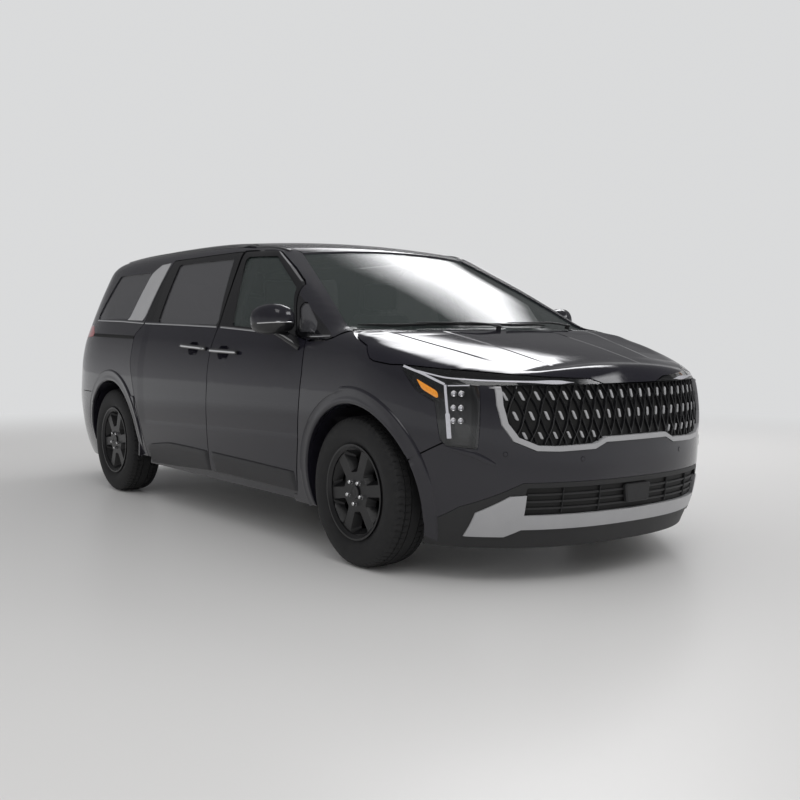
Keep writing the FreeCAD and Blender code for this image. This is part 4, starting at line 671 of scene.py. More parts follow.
lampSet = {"guides": (("side", 24, 0.011, 1.0), ("upright", 30, 0.012, 1.75), ("inner", 12, 0.005, 1.0)),
           "side": [(1.975, -0.930, 0.990), (2.086, -0.893, 0.953), (2.186, -0.849, 0.908)],
           "upright": [(2.189, -0.849, 0.906), (2.206, -0.849, 0.790), (2.212, -0.849, 0.745),
                       (2.219, -0.849, 0.668)],
           "under": [(2.060, -0.905, 0.966), (2.190, -0.855, 0.936), (2.320, -0.735, 0.925),
                     (2.440, -0.520, 0.918), (2.490, -0.345, 0.914)],
           "inner": [(2.196, -0.838, 0.902), (2.270, -0.775, 0.904)], "guideWidth": 0.011,
           "guideDepth": 0.003,
           "amber": [(2.066, -0.915, 0.931), (2.166, -0.873, 0.876), (2.170, -0.870, 0.842),
                     (2.095, -0.905, 0.885)], "amberDepth": 0.0025,
           "clusters": (0.868, 0.805, 0.748), "clusterY": (-0.831, -0.811),
           "clusterLine": (2.23, -0.829, 1.37),
           "bowl": [(0.004, 0.0005), (0.009, 0.0008), (0.012, 0.0025), (0.0128, 0.002), (0.0128, -0.002)],
           "bead": [(0.0062, 0.0005), (0.0058, 0.0032), (0.0038, 0.0052), (0.001, 0.006)],
           "facing": (-0.62, 0.78, 0)}
lampFace = ["headlamps", "front_bumper", "hood", "grille_surround"]


# light guides are bars along lines on the lamp: the upright widens below its middle, and the one under
# the hood swells near its inner end as a bell curve; cells stand in pairs on a slanted line
def makeHeadlamps():
    s = lampSet
    slanted = s["facing"]
    guides = []
    for key, count, width, low in s["guides"]:
        path, normals = lineOn(lampFace, s[key], count, slanted, 1)
        scale = np.where(np.arange(count) > 0.52 * count, low, 1.0)
        shape = sweep(path, pill(width, s["guideDepth"]), normals, scale=np.c_[scale, np.ones(count)])
        guides.append(shape)
    path, normals = lineOn(lampFace, s["under"], 40, slanted, 3)
    t = np.linspace(0, 1, 40)
    scale = 0.6 + 0.35 * t + 0.9 * np.exp(-((t - 0.86) / 0.10) ** 2) - 1.2 * np.clip((t - 0.92) / 0.08, 0, 1)
    scale = np.c_[np.maximum(scale, 0.15), np.ones(40)]
    guides.append(sweep(path, pill(s["guideWidth"], s["guideDepth"]), normals, scale=scale))
    piece("light_guides", pair(merged(guides)), "body", "lightGuide")
    places, normals, _ = land(lampFace, resampleRing(s["amber"], 32, 1), slanted)
    marker = plate(places, normals.mean(0), s["amberDepth"], soft=1)
    piece("side_markers", pair(marker), "body", "amber")
    x0, y0, slope = s["clusterLine"]
    bowls, beads = [], []
    for z in s["clusters"]:
        for y in s["clusterY"]:
            place, normal, _ = land(lampFace, [(x0 + slope * (y - y0), y, z)], slanted)
            normal = unit(normal[0] + [0.5, 0, 0])
            bowls.append(turned(s["bowl"], place[0], normal, 24))
            beads.append(turned(s["bead"], place[0], normal, 16))
    piece("lamp_bowls", pair(merged(bowls)), "body", "reflector")
    piece("lamp_beads", pair(merged(beads)), "body", "lightGuide")
    print("headlamps made")


makeHeadlamps()


# a line on the right side through places along and heights, met by rays from outside
def sideLine(names, points, count, soft=0, lift=0.0):
    corners = [(x, besideY, z) for x, z in points]
    return lineOn(names, corners, count, (0, 1, 0), soft, lift)


# each strip: its name, its line as (along, height), what carries it and its body
beltStrips = {"width": 0.010, "rise": 0.005, "lift": 0.001, "lines": (
    ("belt_rear", [(-1.915, 1.2335), (-1.40, 1.2215), (-0.973, 1.2035)], ["body_side_right", "side_glass"],
     "body"),
    ("belt_middle", [(-0.973, 1.2035), (-0.42, 1.190), (0.150, 1.1735)], ["sliding_door_right"], "body"),
    ("belt_front", [(0.176, 1.1725), (0.60, 1.150), (1.030, 1.121)], ["front_door_right"], "front_door"),
    ("belt_vent", [(1.185, 1.121), (1.395, 1.1215)], ["body_side_right"], "body"))}


# thin bars along the foot of the glass, rounded in section and raised off what carries them
def makeBeltStrips():
    s = beltStrips
    for name, points, names, body in s["lines"]:
        path, normals = sideLine(names, points, 40, 2, s["lift"])
        shape = sweep(path, pill(s["width"], s["rise"]), normals)
        if body == "body":
            piece(name, pair(shape), "body", "chrome")
            continue
        for side, form in bothSides(shape):
            piece(name + "_" + side, form, body + "_" + side, "chrome")


makeBeltStrips()

finSet = {"front": [(-0.872, 1.612), (-1.005, 1.238), (-1.035, 1.222)],
          "rear": [(-1.009, 1.606), (-1.129, 1.553), (-1.265, 1.243), (-1.300, 1.229)], "rise": 0.004,
          "sunk": 0.002}


# silver fin: a surface between its front edge and its rear edge, carried onto the side, raised, and sunk
# at both its ends
def makeFins():
    s = finSet
    front, rear = resample(s["front"], 24, 2), resample(s["rear"], 24, 2)
    k = np.linspace(0, 1, 9)[:, None, None]
    flat = front * (1 - k) + rear * k
    places = landGrid(["body_side_right", "side_glass", "sliding_door_right"],
                      sideGrid(flat[..., 0], flat[..., 1]), (0, 1, 0))
    sunk = [0, s["sunk"], 0]
    shape = gridShape(np.vstack([places[:1] + sunk, places - [0, s["rise"], 0], places[-1:] + sunk]))
    piece("side_fins", pair(shape), "body", "satin_silver", angle=30, closed=False)


makeFins()
print("side trim made")


# depth of the side skin at a height, read on the doors; below them it goes on in a straight line
def sideDepth(level):
    heights = np.linspace(0.20, 1.15, 96)
    depth = land(["front_door_right"], sideGrid(0.70, heights), (0, 1, 0))[0][:, 1]
    good = ~np.isnan(depth) & (depth < -0.9)
    heights, depth = heights[good], depth[good]
    slope = (depth[6] - depth[0]) / (heights[6] - heights[0])
    return np.interp(level, heights, depth) + np.minimum(level - heights[0], 0) * slope


lipSet = {"inner": 0.4305, "turns": 66, "rise": 0.0095, "root": -0.020, "taper": 0.25,
          "share": (0.0, 0.0, 0.04, 0.12, 0.30, 0.55, 0.78, 0.90, 0.96, 1.0, 1.0),
          "height": (0.0, 0.7, 0.9, 0.78, 0.72, 0.85, 1.0, 0.8, 0.0, -0.3),
          "ends": {"front": (-22.0, 203.0), "rear": (-4.0, 184.0)},
          "widths": {"front": 0.085, "rear": 0.078},
          "frontReach": 0.492, "deepest": -0.80, "rearTop": 0.712, "rearFront": -1.2,
          "rearBack": (-1.806, -1.69), "backDepth": -0.9935}


# raised lip round a wheel arch: an angle round the wheel and a share across the lip; the skin under it
# comes from the panels, and the lip stands off it by a height that rises steeply at the outer edge and
# falls to the opening
def makeArchLips():
    s = lipSet
    share = np.array(s["share"])
    order = share + np.arange(len(share)) * 1e-6
    height = np.r_[s["root"], np.array(s["height"]) * s["rise"]]
    names = ["fender_right", "front_bumper", "body_side_right", "rear_bumper", "front_valance"]
    shapes = []
    for end in ("front", "rear"):
        turn = np.radians(np.linspace(*s["ends"][end], s["turns"]))[:, None]
        taper = np.clip((turn - turn[0]) / s["taper"], 0.25, 1)
        taper = taper * np.clip((turn[-1] - turn) / s["taper"], 0.25, 1)
        reach = s["inner"] + s["widths"][end] * share[None] * (0.75 + 0.25 * np.sin(turn).clip(0, 1))
        if end == "front":
            reach = np.minimum(reach, np.where(np.cos(turn) < -0.2, s["frontReach"], 9.0))
        flat = sideGrid(wheelSet[end + "X"] + reach * np.cos(turn), wheelSet["axleZ"] + reach * np.sin(turn))
        y = landGrid(names, flat, (0, 1, 0))[..., 1]
        if end == "rear":
            x, z = flat[..., 0], flat[..., 2]
            back = (x > s["rearBack"][0]) & (x < s["rearBack"][1])
            y = np.where((z < s["rearTop"]) & (x > s["rearFront"]), sideDepth(z), y)
            y = np.where((z < s["rearTop"]) & back, s["backDepth"], y)
        deep = np.isnan(y) | (y > s["deepest"])
        for row in range(len(y)):
            good = ~deep[row]
            if good.any():
                y[row] = np.interp(order, order[good], y[row][good])
        flat[..., 1] = y - height[None] * taper
        keep = ~np.isnan(flat[..., 1]).any(1)
        shapes.append(gridShape(flat[keep]))
    piece("arch_lips", pair(merged(shapes)), "body", "paint", angle=50, closed=False)
    print("arch lips made")


makeArchLips()

# each panel: its straight edge along the vehicle, its angles and their count, its rows across and its
# place sideways, or none where it follows the doors' skin
quarterSet = {"inner": 0.4285, "top": 0.7075, "least": 0.0005, "thickness": 0.004,
              "panels": ((-1.0135, (-11.0, 51.5, 50), 8, None), (-1.8035, (127.8, 146.2, 20), 6, -0.9935))}


# panels beside the rear arch, to the sliding door in front and to the bumper behind: an angle round the
# wheel and a share from the arch to the panel's straight edges
def makeQuarterPanels():
    s = quarterSet
    x, z = wheelSet["rearX"], wheelSet["axleZ"]
    shapes = []
    for edge, turns, rows, depth in s["panels"]:
        turn = np.radians(np.linspace(*turns))[:, None]
        outer = np.minimum((edge - x) / np.cos(turn), (s["top"] - z) / np.maximum(np.sin(turn), 1e-3))
        reach = s["inner"] + np.maximum(outer - s["inner"], s["least"]) * np.linspace(0, 1, rows)[None]
        level = z + reach * np.sin(turn)
        depth = sideDepth(level) if depth is None else depth
        shapes.append(gridShape(sideGrid(x + reach * np.cos(turn), level, depth)))
    shape = pair(merged(shapes))
    piece("quarter_panels", shape, "body", "paint", solid=-s["thickness"], closed=False)


makeQuarterPanels()

# each moulding: its door, its upper and its lower edge as (along, height), and its body
claddingSet = {"doors": (("sliding_door", [(-0.868, 0.372), (-0.80, 0.398), (-0.494, 0.432), (-0.20, 0.431),
                                           (0.058, 0.427)],
                          [(-0.868, 0.262), (-0.50, 0.276), (0.058, 0.304)], "body"),
                         ("front_door", [(0.098, 0.427), (0.60, 0.419), (1.078, 0.409)],
                          [(0.098, 0.306), (0.60, 0.304), (1.078, 0.300)], "front_door")),
               "shares": (0.0, 0.0, 0.05, 0.13, 0.35, 0.65, 0.90, 1.0, 1.0),
               "rises": (-0.004, 0.0, 0.0075, 0.0105, 0.0095, 0.0080, 0.0065, 0.005, -0.004), "sunk": 0.003}


# moulding along the foot of each door, with a sharp upper edge and sunk ends; its finish is a darker copy of
# the body paint, which is painted shade
def makeCladding():
    s = claddingSet
    share = np.array(s["shares"])[None, :, None]
    for door, top, foot, body in s["doors"]:
        high, low = resample(top, 48, 3)[:, None], resample(foot, 48, 3)[:, None]
        flat = high * (1 - share) + low * share
        places = sideGrid(flat[..., 0], flat[..., 1], sideDepth(flat[..., 1]))
        k = fromMiddle(len(places)) ** 40
        places[..., 1] -= np.array(s["rises"])[None] * (1 - k) - s["sunk"] * k
        for side, form in bothSides(gridShape(places)):
            owner = body if body == "body" else body + "_" + side
            # the mouldings wear the darkened copy of the paint, which is painted shade
            piece(door + "_moulding_" + side, form, owner, "paintShadedCopy", angle=25, closed=False)


makeCladding()

# black strips in the roof's gutters, as (along, sideways)
dripSet = {"line": [(0.52, -0.655), (0.30, -0.700), (0.05, -0.708), (-0.60, -0.708), (-1.20, -0.700),
                    (-1.80, -0.680)], "size": (0.030, 0.010)}
corners = [(x, y, 3.0) for x, y in dripSet["line"]]
path, normals = lineOn(["roof_panel", "body_side_right"], corners, 90, (0, 0, -1), 3)
piece("roof_strips", pair(sweep(path, pill(*dripSet["size"]), normals)), "body", "black_gloss")
print("quarter panels, mouldings and roof strips made")

# stations of the head: place sideways, place along, height, and half its size along and upwards; the
# glass: its middle and half its width and height
mirrorSet = {"stations": [(-0.962, 1.030, 1.196, 0.052, 0.046), (-0.985, 1.024, 1.196, 0.080, 0.066),
                          (-1.030, 1.014, 1.197, 0.094, 0.076), (-1.075, 1.002, 1.197, 0.094, 0.077),
                          (-1.115, 0.985, 1.195, 0.076, 0.067), (-1.137, 0.968, 1.193, 0.052, 0.050),
                          (-1.1485, 0.957, 1.192, 0.020, 0.022)],
             "arm": [(1.112, -0.950, 1.072), (1.092, -0.985, 1.100), (1.062, -1.020, 1.128),
                     (1.035, -1.050, 1.150)], "armSize": (0.058, 0.030),
             "glass": (0.953, -1.062, 1.193, 0.066, 0.056), "power": 2.5, "taller": 1.14, "lift": 0.006,
             "blunt": -0.62, "flatter": 0.86, "line": (0.007, 0.004)}


# mirror head: rounded sections along the width, blunt at the back where the glass sits and flatter below
def makeMirrors():
    s = mirrorSet
    table = np.array(s["stations"])
    k = np.linspace(0, len(table) - 1, 40)
    rows = np.stack([np.interp(k, np.arange(len(table)), table[:, i]) for i in range(5)], -1)
    y, x, z, long, high = softened(rows, 3).T[..., None]
    px, pz = pill(2, 2, 48, s["power"]).T
    px = np.maximum(px, s["blunt"])
    pz = pz * np.where(pz > 0, 1.0, s["flatter"])
    head = np.stack(np.broadcast_arrays(x + long * px, y, z + s["lift"] + high * pz * s["taller"]), -1)
    scale = np.c_[np.linspace(1.25, 0.9, 16), np.linspace(1.0, 0.8, 16)]
    arm = sweep(resample(s["arm"], 16, 2), pill(*s["armSize"], 16, 3.0), (0.2, -0.5, 0.8), scale=scale)
    line = np.hstack([x + long * 0.995, y, z - 0.004])[3:36]
    x, y, z, wide, high = s["glass"]
    t = np.linspace(0, 2 * np.pi, 40, endpoint=False)
    glass = np.stack([np.full(40, x), y - wide * np.cos(t), z + high * np.sin(t)], -1)
    parts = (("head", gridShape(head, wrapV=True, capped=True), "mirrorCap", "paint", 60),
             ("arm", arm, "black_gloss", "black_gloss", 60),
             ("glass", plate(glass, (-1, 0, 0), 0.006, soft=0), "reflector", "satin_silver", 35),
             ("line", sweep(line, pill(*s["line"]), (1, 0, 0)), "chrome", "satin_silver", 35))
    for side in ("right", "left"):
        for name, shape, material, slot, angle in parts:
            form = flipped(shape) if side == "left" else shape
            made = piece(f"mirror_{name}_{side}", form, "front_door_" + side, material, angle=angle)
            if name == "head":
                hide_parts("mirror_" + side)
    print("mirrors made")


makeMirrors()

handleSet = {"front_door": [(0.138, 1.035), (0.483, 1.027)],
             "sliding_door": [(-0.273, 1.059), (0.076, 1.044)],
             "grip": (0.027, 0.019), "strip": (0.0115, 0.004), "inset": 0.009, "rise": 0.0085}


# each grip is a rounded bar round the plain one of the door, with a bright strip along its outer face
def makeHandles():
    s = handleSet
    for door in ("front_door", "sliding_door"):
        path, _ = sideLine([door + "_right"], s[door], 34)
        path[:, 1] = np.median(path[:, 1]) + s["inset"]
        k = fromMiddle(34) ** 12
        grip = sweep(path, pill(*s["grip"], 16, 3.0), (0, -1, 0), scale=1 - 0.45 * k)
        strip = sweep(path[1:-1] - [0, s["rise"], 0], pill(*s["strip"]), (0, -1, 0), scale=1 - 0.3 * k[1:-1])
        for name, shape, material, slot in (("grip", grip, "black_gloss", None),
                                            ("strip", strip, "chrome", "satin_silver")):
            for side, form in bothSides(shape):
                body = "body" if door == "sliding_door" else door + "_" + side
                piece(f"{door}_{name}_{side}", form, body, material)


makeHandles()
print("handles made")

# foot of the windshield as (sideways, along); each blade's ends and its spindle, as places sideways
wiperSet = {"base": [(-0.843, 1.413), (-0.590, 1.503), (-0.176, 1.568), (0.176, 1.568), (0.590, 1.503),
                     (0.843, 1.413)], "blades": ((-0.78, -0.17, 0.02), (-0.24, 0.46, 0.62)),
            "inboard": 0.040, "blade": (0.009, 0.014), "lift": 0.008, "arm": (0.016, 0.009),
            "cowl": ([1.40, 1.57], [1.185, 1.168]), "facing": (0.35, 0, 0.94),
            "spindle": [(0.0, -0.02), (0.014, -0.02), (0.014, 0.002), (0.010, 0.006), (0.0, 0.006)]}


# blades lie along the foot of the windshield; each arm comes from its spindle behind the hood to the
# blade's middle
def makeWipers():
    s = wiperSet
    across, foot = np.array(s["base"]).T
    shapes = []
    for start, end, spindle in s["blades"]:
        y = np.linspace(start, end, 30)
        x = np.interp(y, across, foot) - s["inboard"]
        line = np.stack([x, y, 0 * y + 3], -1)
        path, normals = lineOn(["windshield"], line, 30, (0, 0, -1), 2, s["lift"])
        shapes.append(sweep(path, pill(*s["blade"]), normals, scale=1 - 0.7 * fromMiddle(30) ** 6))
        middle = path[15] + normals[15] * 0.012
        x = np.interp(spindle, across, foot) + 0.012
        root = np.array([x, spindle, np.interp(x, *s["cowl"]) + 0.006])
        arm = resample([root, root + [-0.012, (middle[1] - root[1]) * 0.25, 0.016], middle], 20, 4)
        wide = np.linspace(1.25, 0.55, 20)[:, None]
        shapes.append(sweep(arm, pill(*s["arm"], 12, 3.0), s["facing"], scale=wide))
        shapes.append(turned(s["spindle"], root, s["facing"], 20))
    piece("wipers", merged(shapes), "body", "dark_plastic")


makeWipers()

noseSet = {"facet": [(2.178, -0.874, 0.640), (2.227, -0.839, 0.622), (2.300, -0.775, 0.600),
                     (2.376, -0.697, 0.549)], "facetSize": (0.030, 0.012),
           "spike": [(2.330, -0.713, 0.8935), (2.366, -0.678, 0.8935)], "spikeSize": (0.011, 0.006),
           "sensors": [(2.3956, -0.672, 0.601), (2.5422, -0.336, 0.571)], "sensor": 0.0105,
           "facing": (-0.75, 0.66, 0), "sensorFacing": (-0.8, 0.6, 0)}


# a raised facet under each lamp, the spike beside the surround and the round sensors
def makeNoseDetails():
    s = noseSet
    path, normals = lineOn(["front_bumper"], s["facet"], 36, s["facing"], 3)
    k = np.linspace(0, 1, 36)[:, None]
    size = np.clip(3.4 * k ** 0.9 * (1 - k) ** 0.75 * (0.35 + 0.9 * k), 0.02, 1.2)
    facet = sweep(path, pill(*s["facetSize"], 16, 2.2), normals, scale=size)
    piece("nose_facets", pair(facet), "body", "paint")
    path, normals = lineOn(["front_bumper", "grille_surround"], s["spike"], 16, s["facing"], 0, 0.001)
    spike = sweep(path, pill(*s["spikeSize"]), normals, scale=np.linspace(0.15, 1.0, 16)[:, None])
    piece("grille_spikes", pair(spike), "body", "satin_silver")
    places, normals, _ = land(["front_bumper"], s["sensors"], s["sensorFacing"])
    r = s["sensor"]
    profile = [(0.0, -0.004), (r + 0.002, -0.004), (r + 0.002, 0.0008), (r + 0.0005, 0.0012), (r, 0.0002),
               (r - 0.001, 0.0014), (0.0, 0.0018)]
    shapes = [turned(profile, place, normal, 24) for place, normal in zip(places, normals)]
    piece("parking_sensors", pair(merged(shapes)), "body", "paint")


makeNoseDetails()

# the slot of the sliding door's rail as a near-black strip along the side: painted shade
railSet = {"line": [(-1.900, 1.1245), (-1.50, 1.1155), (-1.101, 1.1075)], "size": (0.024, 0.005)}
path, normals = sideLine(["body_side_right"], railSet["line"], 50, 2, 0.0006)
piece("door_rails", pair(sweep(path, pill(*railSet["size"]), normals)), "body", "nearBlackShade")
print("wipers, nose details and door rails made")

# lines of a seat as (forward, up) of its back, cushion and headrest; each row's name, how far back it
# stands, how far aside, how high, and its width as a share
seatSet = {"back": [(0.045, 0.640), (0.020, 0.80), (-0.010, 1.00), (-0.040, 1.20), (-0.048, 1.262)],
           "cushion": [(0.570, 0.606), (0.46, 0.604), (0.30, 0.596), (0.14, 0.590), (0.04, 0.590)],
           "head": [(-0.036, 1.292), (-0.032, 1.36), (-0.034, 1.42), (-0.040, 1.468)],
           "rows": (("front_seats", 0.0, 0.385, 0.0, 1.0), ("middle_seats", 0.930, 0.385, 0.0, 1.0),
                    ("rear_seats", 1.891, 0.392, 0.170, 1.1)),
           "width": 0.50, "backDepth": 0.135, "cushionDepth": 0.150, "headSize": (0.262, 0.088),
           "seams": 0.58, "seamDepth": 0.007, "pleatDepth": 0.006, "bolster": 0.24, "fill": 0.8,
           "base": [(0.10, 0, 0.445), (0.46, 0, 0.445)], "baseSize": (0.40, 0.165),
           "post": [(0.0, 0.0), (0.006, 0.0), (0.006, 0.09), (0.0, 0.09)],
           "postPlace": (-0.044, 0.055, 1.235)}


# padded body round a line: sides swell into bolsters, seams run along both of them and pleats cross the
# middle
def padShape(line, width, depth, facing, bolster, pleats, power=3.2, rows=44):
    path = resample([(x, 0, z) for x, z in line], rows, 2)
    k = fromMiddle(rows)
    outline = pill(width, depth, 64, power)
    v = np.abs(outline[:, 0]) / (width / 2)
    front = outline[:, 1] > 0
    swell = np.clip((v - 0.55) / 0.3, 0, 1)
    outline[:, 1] *= 1 + np.where(front, bolster * swell * swell * (3 - 2 * swell), 0)
    seam = seatSet["seamDepth"] * np.exp(-((v - seatSet["seams"]) / 0.035) ** 2)
    outline[:, 1] -= np.where(front, seam, 0)
    points, faces = sweep(path, outline, facing, scale=np.hstack([1 - 0.22 * k ** 10, 1 - 0.62 * k ** 8]))
    if pleats:
        across = np.linspace(-1, 1, rows) * pleats * np.pi / 2
        groove = np.exp(-(np.cos(across) / 0.16) ** 2)[:, None] * (front & (v < 0.52))[None]
        sunk = unit(np.asarray(facing, float)) * (seatSet["pleatDepth"] * groove)[..., None]
        points = points - sunk.reshape(-1, 3)
    return points, faces


# each seat is three padded bodies on a plain frame, moved to its place in its row
def makeSeats():
    s = seatSet
    base = sweep(resample(s["base"], 12), pill(*s["baseSize"], 28, 5.0), (0, 0, 1))
    x, y, z = s["postPlace"]
    posts = [turned(s["post"], (x, side * y, z), (0, 0, 1), 12) for side in (-1, 1)]
    frameShape = merged([base] + posts)
    head = padShape(s["head"], *s["headSize"], (1, 0, 0.05), 0.0, 0, 2.8, 30)
    for node, back, side, rise, wide in s["rows"]:
        width = s["width"] * wide
        soft = merged([padShape(s["back"], width, s["backDepth"], (1, 0, 0.15), s["bolster"], 5),
                       padShape(s["cushion"], width, s["cushionDepth"], (0.05, 0, 1), s["bolster"] * 0.8, 4),
                       head])
        shift = np.array([-back, side, rise])
        cushions = piece(node + "_cushions", pair((soft[0] + shift, soft[1])), "body", "seat_cloth",
                         angle=60)
        piece(node + "_frames", pair((frameShape[0] + shift, frameShape[1])), "body", "dark_plastic")
        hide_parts(node)


makeSeats()

cabinSet = {"mirror": (0.700, 0.0, 1.475), "size": (0.062, 0.026), "half": 0.118, "stalk": 0.018}


# inside mirror: a rounded housing on a stalk that reaches the windshield
def makeInsideMirror():
    s = cabinSet
    centre = np.array(s["mirror"])
    path = centre + np.linspace(-1, 1, 24)[:, None] * [0, s["half"], 0]
    housing = sweep(path, pill(*s["size"], 18, 2.8), (-1, 0, -0.2), scale=1 - 0.5 * fromMiddle(24) ** 6)
    top = land(["windshield"], [centre + [0.08, 0, 0]], (0, 0, -1))[0][0]
    line = [centre + [0.01, 0, 0.01], centre + [0.05, 0, 0.03], top - [0, 0, 0.008]]
    stalk = sweep(resample(line, 12, 2), pill(s["stalk"], s["stalk"]), (0, 1, 0))
    piece("inside_mirror", merged([housing, stalk]), "body", "dark_plastic")


makeInsideMirror()
print("seats and inside mirror made")

# plate: half its width, half its height and its height; strip: half its width and its height;
# reflectors: both ends sideways and their height; wiper: its line as (sideways, height)
tailSet = {"plate": (0.155, 0.060, 0.915), "plateRim": (0.014, 0.008), "plateLift": 0.002,
           "strip": (0.36, 1.005), "stripSize": (0.020, 0.010), "reflectors": (0.62, 0.80, 0.50),
           "reflectorSize": (0.026, 0.010), "wiper": ((0.0, 1.205), (0.34, 1.235)),
           "wiperSize": (0.010, 0.016), "wiperLift": 0.010, "count": 60, "fromX": -4.0,
           "boss": [(0.0, -0.02), (0.022, -0.02), (0.022, 0.008), (0.015, 0.014), (0.0, 0.014)]}


# points on the tail at sideways places and heights, met by rays from behind
def tailLine(names, places, count, lift=0.0):
    return lineOn(names, [(tailSet["fromX"], y, z) for y, z in places], count, (1, 0, 0), 2, lift)


# blank plate in a rim, the black strip above it, reflectors in the bumper and the rear wiper
def makeTailDetails():
    s = tailSet
    wide, high, level = s["plate"]
    corners = [(-wide, level - high), (wide, level - high), (wide, level + high), (-wide, level + high),
               (-wide, level - high)]
    path, normals = tailLine(["tailgate"], corners, s["count"], 0.001)
    piece("plate_rim", sweep(path, pill(*s["plateRim"]), normals), "tailgate", "dark_plastic")
    u = np.linspace(-1, 1, 14)
    flat = np.stack(np.broadcast_arrays(s["fromX"], wide * u[:, None], level + high * u[None]), -1)
    sheet = landGrid(["tailgate"], flat, (1, 0, 0)) - [s["plateLift"], 0, 0]
    piece("plate_blank", gridShape(sheet), "tailgate", "satin_silver", solid=-0.001, closed=False)
    wide, level = s["strip"]
    path, normals = tailLine(["tailgate"], [(-wide, level), (wide, level)], s["count"])
    piece("tailgate_strip", sweep(path, pill(*s["stripSize"]), normals), "tailgate", "black_gloss")
    inner, outer, level = s["reflectors"]
    path, normals = tailLine(["rear_bumper"], [(inner, level), (outer, level + 0.01)], 24)
    # the reflectors wear the red lens, whose glow is painted light
    piece("bumper_reflectors", pair(sweep(path, pill(*s["reflectorSize"]), normals)), "body", "red_lens")
    path, normals = tailLine(["tailgate_glass", "tailgate"], s["wiper"], 30, s["wiperLift"])
    blade = sweep(path, pill(*s["wiperSize"]), normals, scale=1 - 0.6 * np.linspace(0, 1, 30)[:, None])
    boss = turned(s["boss"], path[0], normals[0], 24)
    piece("rear_wiper", merged([blade, boss]), "tailgate", "dark_plastic")


makeTailDetails()
print("tail details made")

# near and far: where the floor begins to melt into the backdrop and where it ends; rise, fall, sideRise
# and sideFall: ramps round the bright band that glossy rays meet; haze: a paler foot to what they meet
stageSet = {"floor": (0.66, 0.655, 0.65), "backdrop": (0.70, 0.705, 0.71), "reach": 60.0, "fill": 0.88,
            "near": 5.0, "far": 9.5, "mirrorLow": 0.17, "mirrorHigh": 4.8, "haze": 0.34, "hazeTop": 0.22,
            "rise": (0.385, 0.425), "fall": (0.68, 0.57), "sideRise": (0.44, 0.58),
            "sideFall": (0.74, 0.705), "glare": (0.98, 0.98, 1.0)}


# the floor melts into the backdrop with the distance from the vehicle, so no horizon shows
def makeFloor():
    s = stageSet
    size = s["reach"]
    mesh = bpy.data.meshes.new("floor")
    corners = [(-size, -size, 0), (size, -size, 0), (size, size, 0), (-size, size, 0)]
    mesh.from_pydata(corners, [], [(0, 1, 2, 3)])
    floor = placed("floor", mesh)
    r = Recipe("floorPaint")
    cloud = r.noise(0.35, 4.0, 0.6)
    low = tuple(c * 0.985 for c in s["floor"])
    r.finish(colour=r.mix(cloud, low, s["floor"]), roughness=0.30 + 0.03 * cloud, specular=0.28)
    x, y, _ = r.axes()
    far = r.ramp((x * x + y * y).math("SQRT", 0.0), s["near"], s["far"], smooth=True)
    glow = r.node("ShaderNodeEmission", None, {"Color": (*s["backdrop"], 1), "Strength": 1.0})
    output = next(n for n in r.tree.nodes if n.bl_idname == "ShaderNodeOutputMaterial")
    shader = Wire(r, output.inputs["Surface"].links[0].from_socket)
    blend = r.node("ShaderNodeMixShader", None, {0: far, 1: shader, 2: glow})
    r.tree.links.new(blend.socket, output.inputs["Surface"])
    mesh.materials.append(r.material)


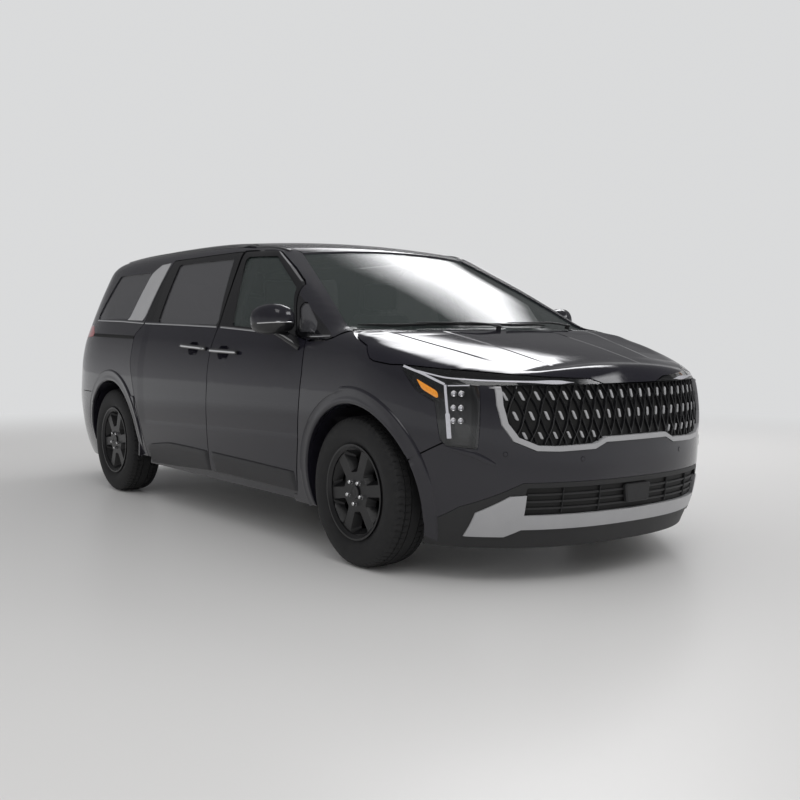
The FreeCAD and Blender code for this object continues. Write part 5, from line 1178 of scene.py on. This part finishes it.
# the camera sees the backdrop's colour, glossy rays a dark room with one bright band, others a plain fill
def makeWorld():
    s = stageSet
    world = bpy.data.worlds.new("studio")
    bpy.context.scene.world = world
    world.use_nodes = True
    sky = Recipe("skyHelper")
    sky.tree, spare = world.node_tree, sky.material
    bpy.data.materials.remove(spare)
    sky.tree.nodes.clear()
    kinds = ("Is Camera Ray", "Is Glossy Ray", "Is Transmission Ray")
    seen, glossy, through = [sky.node("ShaderNodeLightPath", out=kind) for kind in kinds]
    aim = sky.node("ShaderNodeTexCoord", out="Generated")
    aside, up = [sky.node("ShaderNodeSeparateXYZ", None, {0: aim}, out=axis) for axis in (1, 2)]
    band = sky.ramp(up, *s["rise"]) * sky.ramp(up, *s["fall"])
    band = band * sky.ramp(aside, *s["sideRise"]) * sky.ramp(aside, *s["sideFall"])
    glare = s["mirrorLow"] + (s["mirrorHigh"] - s["mirrorLow"]) * band
    glare = glare + s["haze"] * sky.ramp(up, s["hazeTop"], 0.0)
    lights = ((s["backdrop"], 1.0), ((1, 1, 1), s["fill"]), (s["glare"], glare))
    backdrop, fill, mirrored = [sky.node("ShaderNodeBackground", None, {0: (*colour, 1), 1: strength})
                                for colour, strength in lights]
    first = sky.node("ShaderNodeMixShader", None, {0: glossy, 1: fill, 2: mirrored})
    choice = sky.node("ShaderNodeMixShader", None, {0: seen + through, 1: first, 2: backdrop})
    output = sky.tree.nodes.new("ShaderNodeOutputWorld")
    sky.tree.links.new(choice.socket, output.inputs["Surface"])


# place, target, size, power, and whether glossy surfaces mirror it
lamps = {"ceiling": ((-2.0, 5.2, 5.4), (-0.6, 1.5, 0.0), (4.4, 3.6), 130.0, False),
         "front": ((4.6, -2.2, 6.0), (1.8, -0.6, 0.0), (3.0, 3.0), 60.0, True),
         "left": ((3.0, 7.5, 4.2), (0.5, 0.0, 0.8), (6.0, 3.0), 60.0, False)}


# a rectangle of light turned towards its target
def areaLamp(name, place, aim, size, power, mirrored):
    data = bpy.data.lights.new(name, "AREA")
    data.shape = "RECTANGLE"
    data.size, data.size_y = size
    data.energy = power
    lamp = placed(name, data)
    lamp.location = place
    lamp.visible_glossy = mirrored
    lamp.rotation_euler = (Vector(aim) - Vector(place)).to_track_quat("-Z", "Y").to_euler()


makeFloor()
makeWorld()
for name, values in lamps.items():
    areaLamp(name, *values)
print("floor, world and lamps made")

# the camera's place and direction were fitted to the wheels and the body's corners
eye = {"place": (5.778, -3.757, 1.134), "yaw": 2.504, "pitch": -0.064, "lens": 46.69, "sensor": 36.0}
cameraData = bpy.data.cameras.new("camera")
cameraData.lens = eye["lens"]
cameraData.sensor_width = eye["sensor"]
camera = placed("camera", cameraData)
camera.location = eye["place"]
sight = Vector((math.cos(eye["pitch"]) * math.cos(eye["yaw"]), math.cos(eye["pitch"]) * math.sin(eye["yaw"]),
                math.sin(eye["pitch"])))
camera.rotation_euler = sight.to_track_quat("-Z", "Y").to_euler()
bpy.context.scene.camera = camera
bpy.context.scene.view_settings.view_transform = "Standard"
